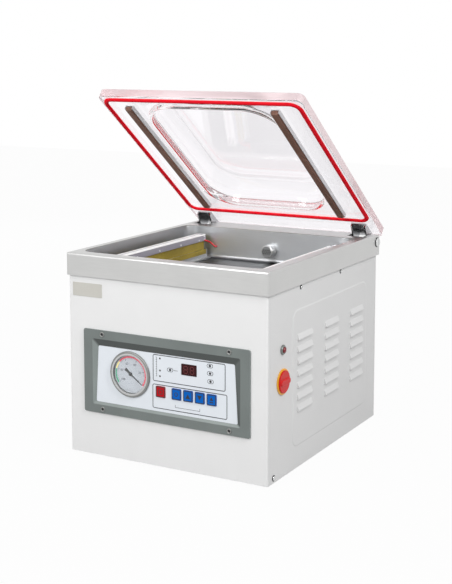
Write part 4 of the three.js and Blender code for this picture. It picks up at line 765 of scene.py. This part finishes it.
def add_port_holes():
    """The grey face of the vacuum port's cap, and black discs of painted shade where its holes are.
    """
    mouths = []
    for row in (-1, 0, 1):
        count = PORT_MIDDLE_HOLES - abs(row)
        up = row * PORT_PITCH * math.sin(QUARTER * 2 / 3)
        for i in range(count):
            across = (i - (count - 1) / 2) * PORT_PITCH
            mouth = moved(prism(circle(PORT_HOLE, 12), 0, 0.3), FRONTWARD)
            mouths.append(shifted(mouth, PORT_X + across, PORT_FACE + 0.1, PORT_Z + up))
    # Painted shade: black discs stand for the dark insides of the holes
    piece("port_hole_mouths", merged(mouths), MACHINE, "pointer_black", "cabinet",
          smooth=False)
    face = moved(prism(circle(PORT_DISC), 0, 0.3), FRONTWARD)
    piece("port_face", shifted(face, PORT_X, PORT_FACE + 0.15, PORT_Z), MACHINE, "port_grey",
          "cabinet", smooth=False)


# Screws of the panels
def add_panel_screws():
    """Screws of the bezel, with painted shade in their sockets, and of the side sheets, and a ring
    round each hinge screw.
    """
    heads, cores = [], []
    for sign in (-1, 1):
        x = sign * BEZEL_SCREW_X
        for rise in (BEZEL_SCREW_INSET, BEZEL_HEIGHT - BEZEL_SCREW_INSET):
            head = moved(socket_head(*BEZEL_HEAD), FRONTWARD)
            heads.append(shifted(head, x, BEZEL_FRONT + 0.6, PANEL_BASE + rise))
            # Painted shade: a dark disc at the bottom of each bezel screw's socket
            core = moved(prism(circle(3.6, 16), 0, 0.9), FRONTWARD)
            cores.append(shifted(core, x, BEZEL_FRONT + 0.5, PANEL_BASE + rise))
    piece("bezel_screws", merged(heads), MACHINE, "ring_steel", "cabinet")
    piece("bezel_screw_cores", merged(cores), MACHINE, "dark_steel", "cabinet")
    for side, sign in SIDES:
        heads, washers = [], []
        for y, z, radius in SIDE_SCREWS:
            head = sideward(shifted(slotted_head(radius, 2.6, 1.2), z=0.5), sign)
            washer = sideward(prism(circle(radius + WASHER_RIM, 20), 0, 0.8), sign)
            heads.append(shifted(head, sign * SIDE_X, y, z))
            washers.append(shifted(washer, sign * SIDE_X, y, z))
        piece(f"{side}_screw_washers", merged(washers), MACHINE, "dark_steel", "cabinet")
        piece(f"{side}_side_screws", merged(heads), MACHINE, "polished_steel", "cabinet")
        ring = shifted(sideward(flat_ring(*PIVOT_RING), sign), sign * RIM_SIDE, PIVOT_Y, PIVOT_Z)
        piece(f"{side}_pivot_washer", ring, MACHINE, "dark_steel", "cabinet")


# Print on the control face, as thin solids just proud of it
PRINT_PROUD = 0.12
PRINT_SUNK = 0.3


def on_face(form, look, name, place_y=FACE_FRONT, body="cabinet"):
    """A form drawn in X and Z, with its height towards the viewer, on a front-facing face."""
    flat = moved(form, FRONTWARD)
    return piece(name, shifted(flat, 0, place_y), MACHINE, look, body, smooth=False)


def frame_line(width, height, radius, middle, line):
    """A printed outline with round corners."""
    outer = round_rect(width, height, radius, middle)
    inner = round_rect(width - 2 * line, height - 2 * line, radius - line, middle)
    low, high = -PRINT_SUNK, PRINT_PROUD
    return loft([raised(outer, low), raised(outer, high), raised(inner, high), raised(inner, low)],
                closed=True)


def patch(outline):
    """A printed area."""
    return prism(outline, -PRINT_SUNK, PRINT_PROUD)


def bar(u0, v0, u1, v1):
    """A printed rectangle."""
    return patch(box_section(u0, v0, u1, v1))


def add_face_print():
    """Frames, lines, ovals and dots of the control face, without its words."""
    forms = [frame_line(width, height, 4, middle, 1.6) for width, height, middle in PRINT_FRAMES]
    forms += [bar(*line) for line in PRINT_LINES]
    forms += [frame_line(14, 8.6, 4.2, place, 1) for place in OVALS]
    levels = [LEVEL_BOTTOM + LEVEL_PITCH * k for k in range(LEVEL_TICKS)]
    forms += [bar(-21.6, level, -19.4, level + 0.7) for level in levels]
    on_face(merged(forms), "print_grey", "face_print")
    dots = [patch(circle(2, 16, place)) for place in INDICATORS]
    dots += [patch(circle(2.7, 16, place)) for place in OVALS]
    on_face(merged(dots), "print_black", "face_indicators")


def add_key_marks():
    """Plain signs in a frame on each key: a square, a ring, two arrows, an arrow over a bar."""
    up = [(-5.4, -4.2), (5.4, -4.2), (0, 5.4)]
    marks = {
        "stop": frame_line(10, 10, 1, (0, 0), 1.5),
        "set": frame_line(9, 9, 4.4, (0, 0), 1.5),
        "up": patch([(u, v - 1) for u, v in up]),
        "down": patch([(-u, 1 - v) for u, v in up]),
        "start": merged([patch([(u * 0.8, v * 0.8 + 2) for u, v in up]), bar(-4.4, -6, 4.4, -3.8)]),
    }
    edge = frame_line(21.2, 22.2, 1.8, (0, 0), 1.8)
    for name, x in KEYS:
        form = shifted(merged([marks[name], edge]), x, KEY_Z)
        on_face(form, "print_black", f"{name}_mark", KEY_FACE, f"{name}_key")


def add_display_digits():
    """Two dim seven-segment digits, just proud of the window's front."""
    forms = []
    for middle in (-DIGIT_X, DIGIT_X):
        strokes = [(middle, level, STROKE_FLAT, STROKE_WIDE)
                   for level in (-DIGIT_LEVEL, 0, DIGIT_LEVEL)]
        strokes += [(middle + u, level, STROKE_WIDE, STROKE_TALL) for u in (-STROKE_X, STROKE_X)
                    for level in (-DIGIT_LEVEL / 2, DIGIT_LEVEL / 2)]
        forms += [bar(u - wide / 2, v - tall / 2, u + wide / 2, v + tall / 2)
                  for u, v, wide, tall in strokes]
    digits = shifted(merged(forms), DISPLAY_X, DISPLAY_Z)
    on_face(digits, "digit_red", "display_digits", DISPLAY_FACE, "cabinet")


# Gauge
GAUGE = MACHINE @ Matrix.Translation((GAUGE_X, GAUGE_Y, GAUGE_Z)) @ FRONTWARD
DIAL_PROUD = 0.15
BANDS = (("arc_red", 0, 0.7, 44), ("arc_yellow", 0.705, 0.805, 8), ("arc_green", 0.81, 1, 14))


def dial_angle(share):
    """The angle on the dial of a share of the scale, from the pointer's place at rest."""
    return math.radians(SCALE_START + SCALE_SWEEP * share)


def dial_arc(inner, outer, first, last, steps):
    """A thin band on the dial, between two radii and two shares of the scale."""
    edge = [dial_angle(first + (last - first) * i / steps) for i in range(steps + 1)]
    outline = [(outer * math.cos(a), outer * math.sin(a)) for a in edge]
    outline += [(inner * math.cos(a), inner * math.sin(a)) for a in reversed(edge)]
    return prism(outline, DIAL_TOP - PRINT_SUNK, DIAL_TOP + DIAL_PROUD)


def numeral(text, size, place):
    """Plain digits as a closed solid."""
    data = bpy.data.curves.new("numeral", "FONT")
    data.body = text
    data.size = size
    data.extrude = 0.2
    data.resolution_u = 3
    data.align_x, data.align_y = "CENTER", "CENTER"
    obj = bpy.data.objects.new("numeral", data)
    mesh = obj.to_mesh()
    points = [tuple(vertex.co) for vertex in mesh.vertices]
    faces = [tuple(face.vertices) for face in mesh.polygons]
    obj.to_mesh_clear()
    bpy.data.objects.remove(obj)
    bpy.data.curves.remove(data)
    return shifted((points, faces), place[0], place[1], DIAL_TOP - 0.05)


def add_dial():
    """The scale with its plain numbers, the coloured bands and the bright ring round the glass."""
    ticks = []
    for k in range(SCALE_TICKS + 1):
        share = k / SCALE_TICKS
        major = k % TICKS_PER_NUMBER == 0
        start, wide = (MAJOR_START, 0.0032) if major else (MINOR_START, 0.0014)
        ticks.append(dial_arc(start, TICK_END, share - wide, share + wide, 1))
    for k in range(6):
        angle = dial_angle(k / 5)
        place = (NUMERAL_RADIUS * math.cos(angle), NUMERAL_RADIUS * math.sin(angle))
        ticks.append(numeral(str(20 * k), NUMERAL_SIZE, place))
    piece("dial_print", merged(ticks), GAUGE, "print_black", "cabinet", smooth=False)
    low, high = GAUGE_FRONT - 0.3, GAUGE_FRONT + 0.2
    inner = loft([
        raised(circle(RING_INNER, 64), low),
        raised(circle(RING_OUTER, 64), low),
        raised(circle(RING_OUTER, 64), high),
        raised(circle(RING_INNER, 64), high - 0.1),
    ], closed=True)
    piece("gauge_inner_ring", inner, GAUGE, "plate_silver", "cabinet")
    for look, first, last, steps in BANDS:
        form = dial_arc(ARC_INNER, ARC_OUTER, first, last, steps)
        piece(f"dial_{look}", form, GAUGE, look, "cabinet", smooth=False)


def add_plate():
    """The plate at the front's top left, which is bare."""
    outline = round_rect(PLATE_WIDTH, PLATE_HEIGHT, 1, PLATE_PLACE, 3)
    front = shifted(moved(prism(outline, 0, 0.7), FRONTWARD), 0, PANEL_FRONT)
    piece("front_plate", front, MACHINE, "plate_pale", "cabinet", soften=0.15)


# Stage and light, with the floor's and the lamps' places and sizes in the frame's metres
WORLD_LEVEL = 0.5
FLOOR_HALF, FLOOR_GREY, FLOOR_WHITE = 6, 0.4, 0.97
LAMPS = (
    ("key", (-0.6, -2.5, 1.8), (0, 0, 0.3), 1.4, 1.4, 44),
    ("edge", (1.9, -0.9, 2.0), (0.2, 0, 0.35), 0.25, 1.2, 31),
    ("fill", (-2.2, 2.2, 1.5), (0, 0, 0.25), 1.4, 1.4, 30),
)


def background(tree):
    """One for camera, glossy and transmitted rays, which see plain white, and nought for others."""
    path = tree.nodes.new("ShaderNodeLightPath")
    seen = path.outputs["Is Camera Ray"]
    for name in ("Is Glossy Ray", "Is Transmission Ray"):
        either = tree.nodes.new("ShaderNodeMath")
        either.operation = "MAXIMUM"
        tree.links.new(seen, either.inputs[0])
        tree.links.new(path.outputs[name], either.inputs[1])
        seen = either.outputs[0]
    return seen


def add_world():
    """An even white surrounding that lights the object at half of what the camera sees."""
    world = bpy.data.worlds.new("studio")
    world.use_nodes = True
    tree = world.node_tree
    seen = background(tree)
    level = tree.nodes.new("ShaderNodeMapRange")
    level.inputs["To Min"].default_value = WORLD_LEVEL
    level.inputs["To Max"].default_value = 1
    tree.links.new(seen, level.inputs["Value"])
    tree.nodes["Background"].inputs["Color"].default_value = (1, 1, 1, 1)
    tree.links.new(level.outputs["Result"], tree.nodes["Background"].inputs["Strength"])
    bpy.context.scene.world = world


def add_floor():
    """A grey floor that shows nearly white in the picture and keeps a faint shadow."""
    mesh = bpy.data.meshes.new("floor")
    corners = [(x * FLOOR_HALF, y * FLOOR_HALF, 0) for x, y in ((-1, -1), (1, -1), (1, 1), (-1, 1))]
    mesh.from_pydata(corners, [], [(0, 1, 2, 3)])
    floor = bpy.data.objects.new("floor", mesh)
    bpy.context.scene.collection.objects.link(floor)
    material = bpy.data.materials.new("look_floor")
    material.use_nodes = True
    tree = material.node_tree
    shader = tree.nodes["Principled BSDF"]
    shader.inputs["Base Color"].default_value = (FLOOR_GREY, FLOOR_GREY, FLOOR_GREY, 1)
    shader.inputs["Roughness"].default_value = 0.9
    glow = tree.nodes.new("ShaderNodeEmission")
    glow.inputs["Color"].default_value = (1, 1, 1, 1)
    share = tree.nodes.new("ShaderNodeMapRange")
    share.inputs["To Max"].default_value = FLOOR_WHITE
    mix = tree.nodes.new("ShaderNodeMixShader")
    tree.links.new(background(tree), share.inputs["Value"])
    tree.links.new(share.outputs["Result"], mix.inputs["Fac"])
    tree.links.new(shader.outputs["BSDF"], mix.inputs[1])
    tree.links.new(glow.outputs["Emission"], mix.inputs[2])
    tree.links.new(mix.outputs["Shader"], tree.nodes["Material Output"].inputs["Surface"])
    floor.data.materials.append(material)


def add_lamp(name, place, aim, width, height, watts):
    """A soft rectangular lamp. The fill stands behind the object and isn't seen in it."""
    data = bpy.data.lights.new(name, "AREA")
    data.shape = "RECTANGLE"
    data.size = width
    data.size_y = height
    data.energy = watts
    lamp = bpy.data.objects.new(name, data)
    lamp.location = place
    lamp.rotation_euler = (Vector(aim) - Vector(place)).to_track_quat("-Z", "Y").to_euler()
    lamp.visible_glossy = lamp.visible_transmission = name != "fill"
    bpy.context.scene.collection.objects.link(lamp)


bpy.context.scene.view_settings.view_transform = "Standard"
add_camera()
dress_nodes()
add_lid()
add_gasket()
add_pads()
add_bags()
add_leads()
add_bar_covers()
add_bar_screws()
add_port_holes()
add_panel_screws()
add_face_print()
add_key_marks()
add_display_digits()
add_dial()
add_plate()
add_world()
add_floor()
for lamp_facts in LAMPS:
    add_lamp(*lamp_facts)
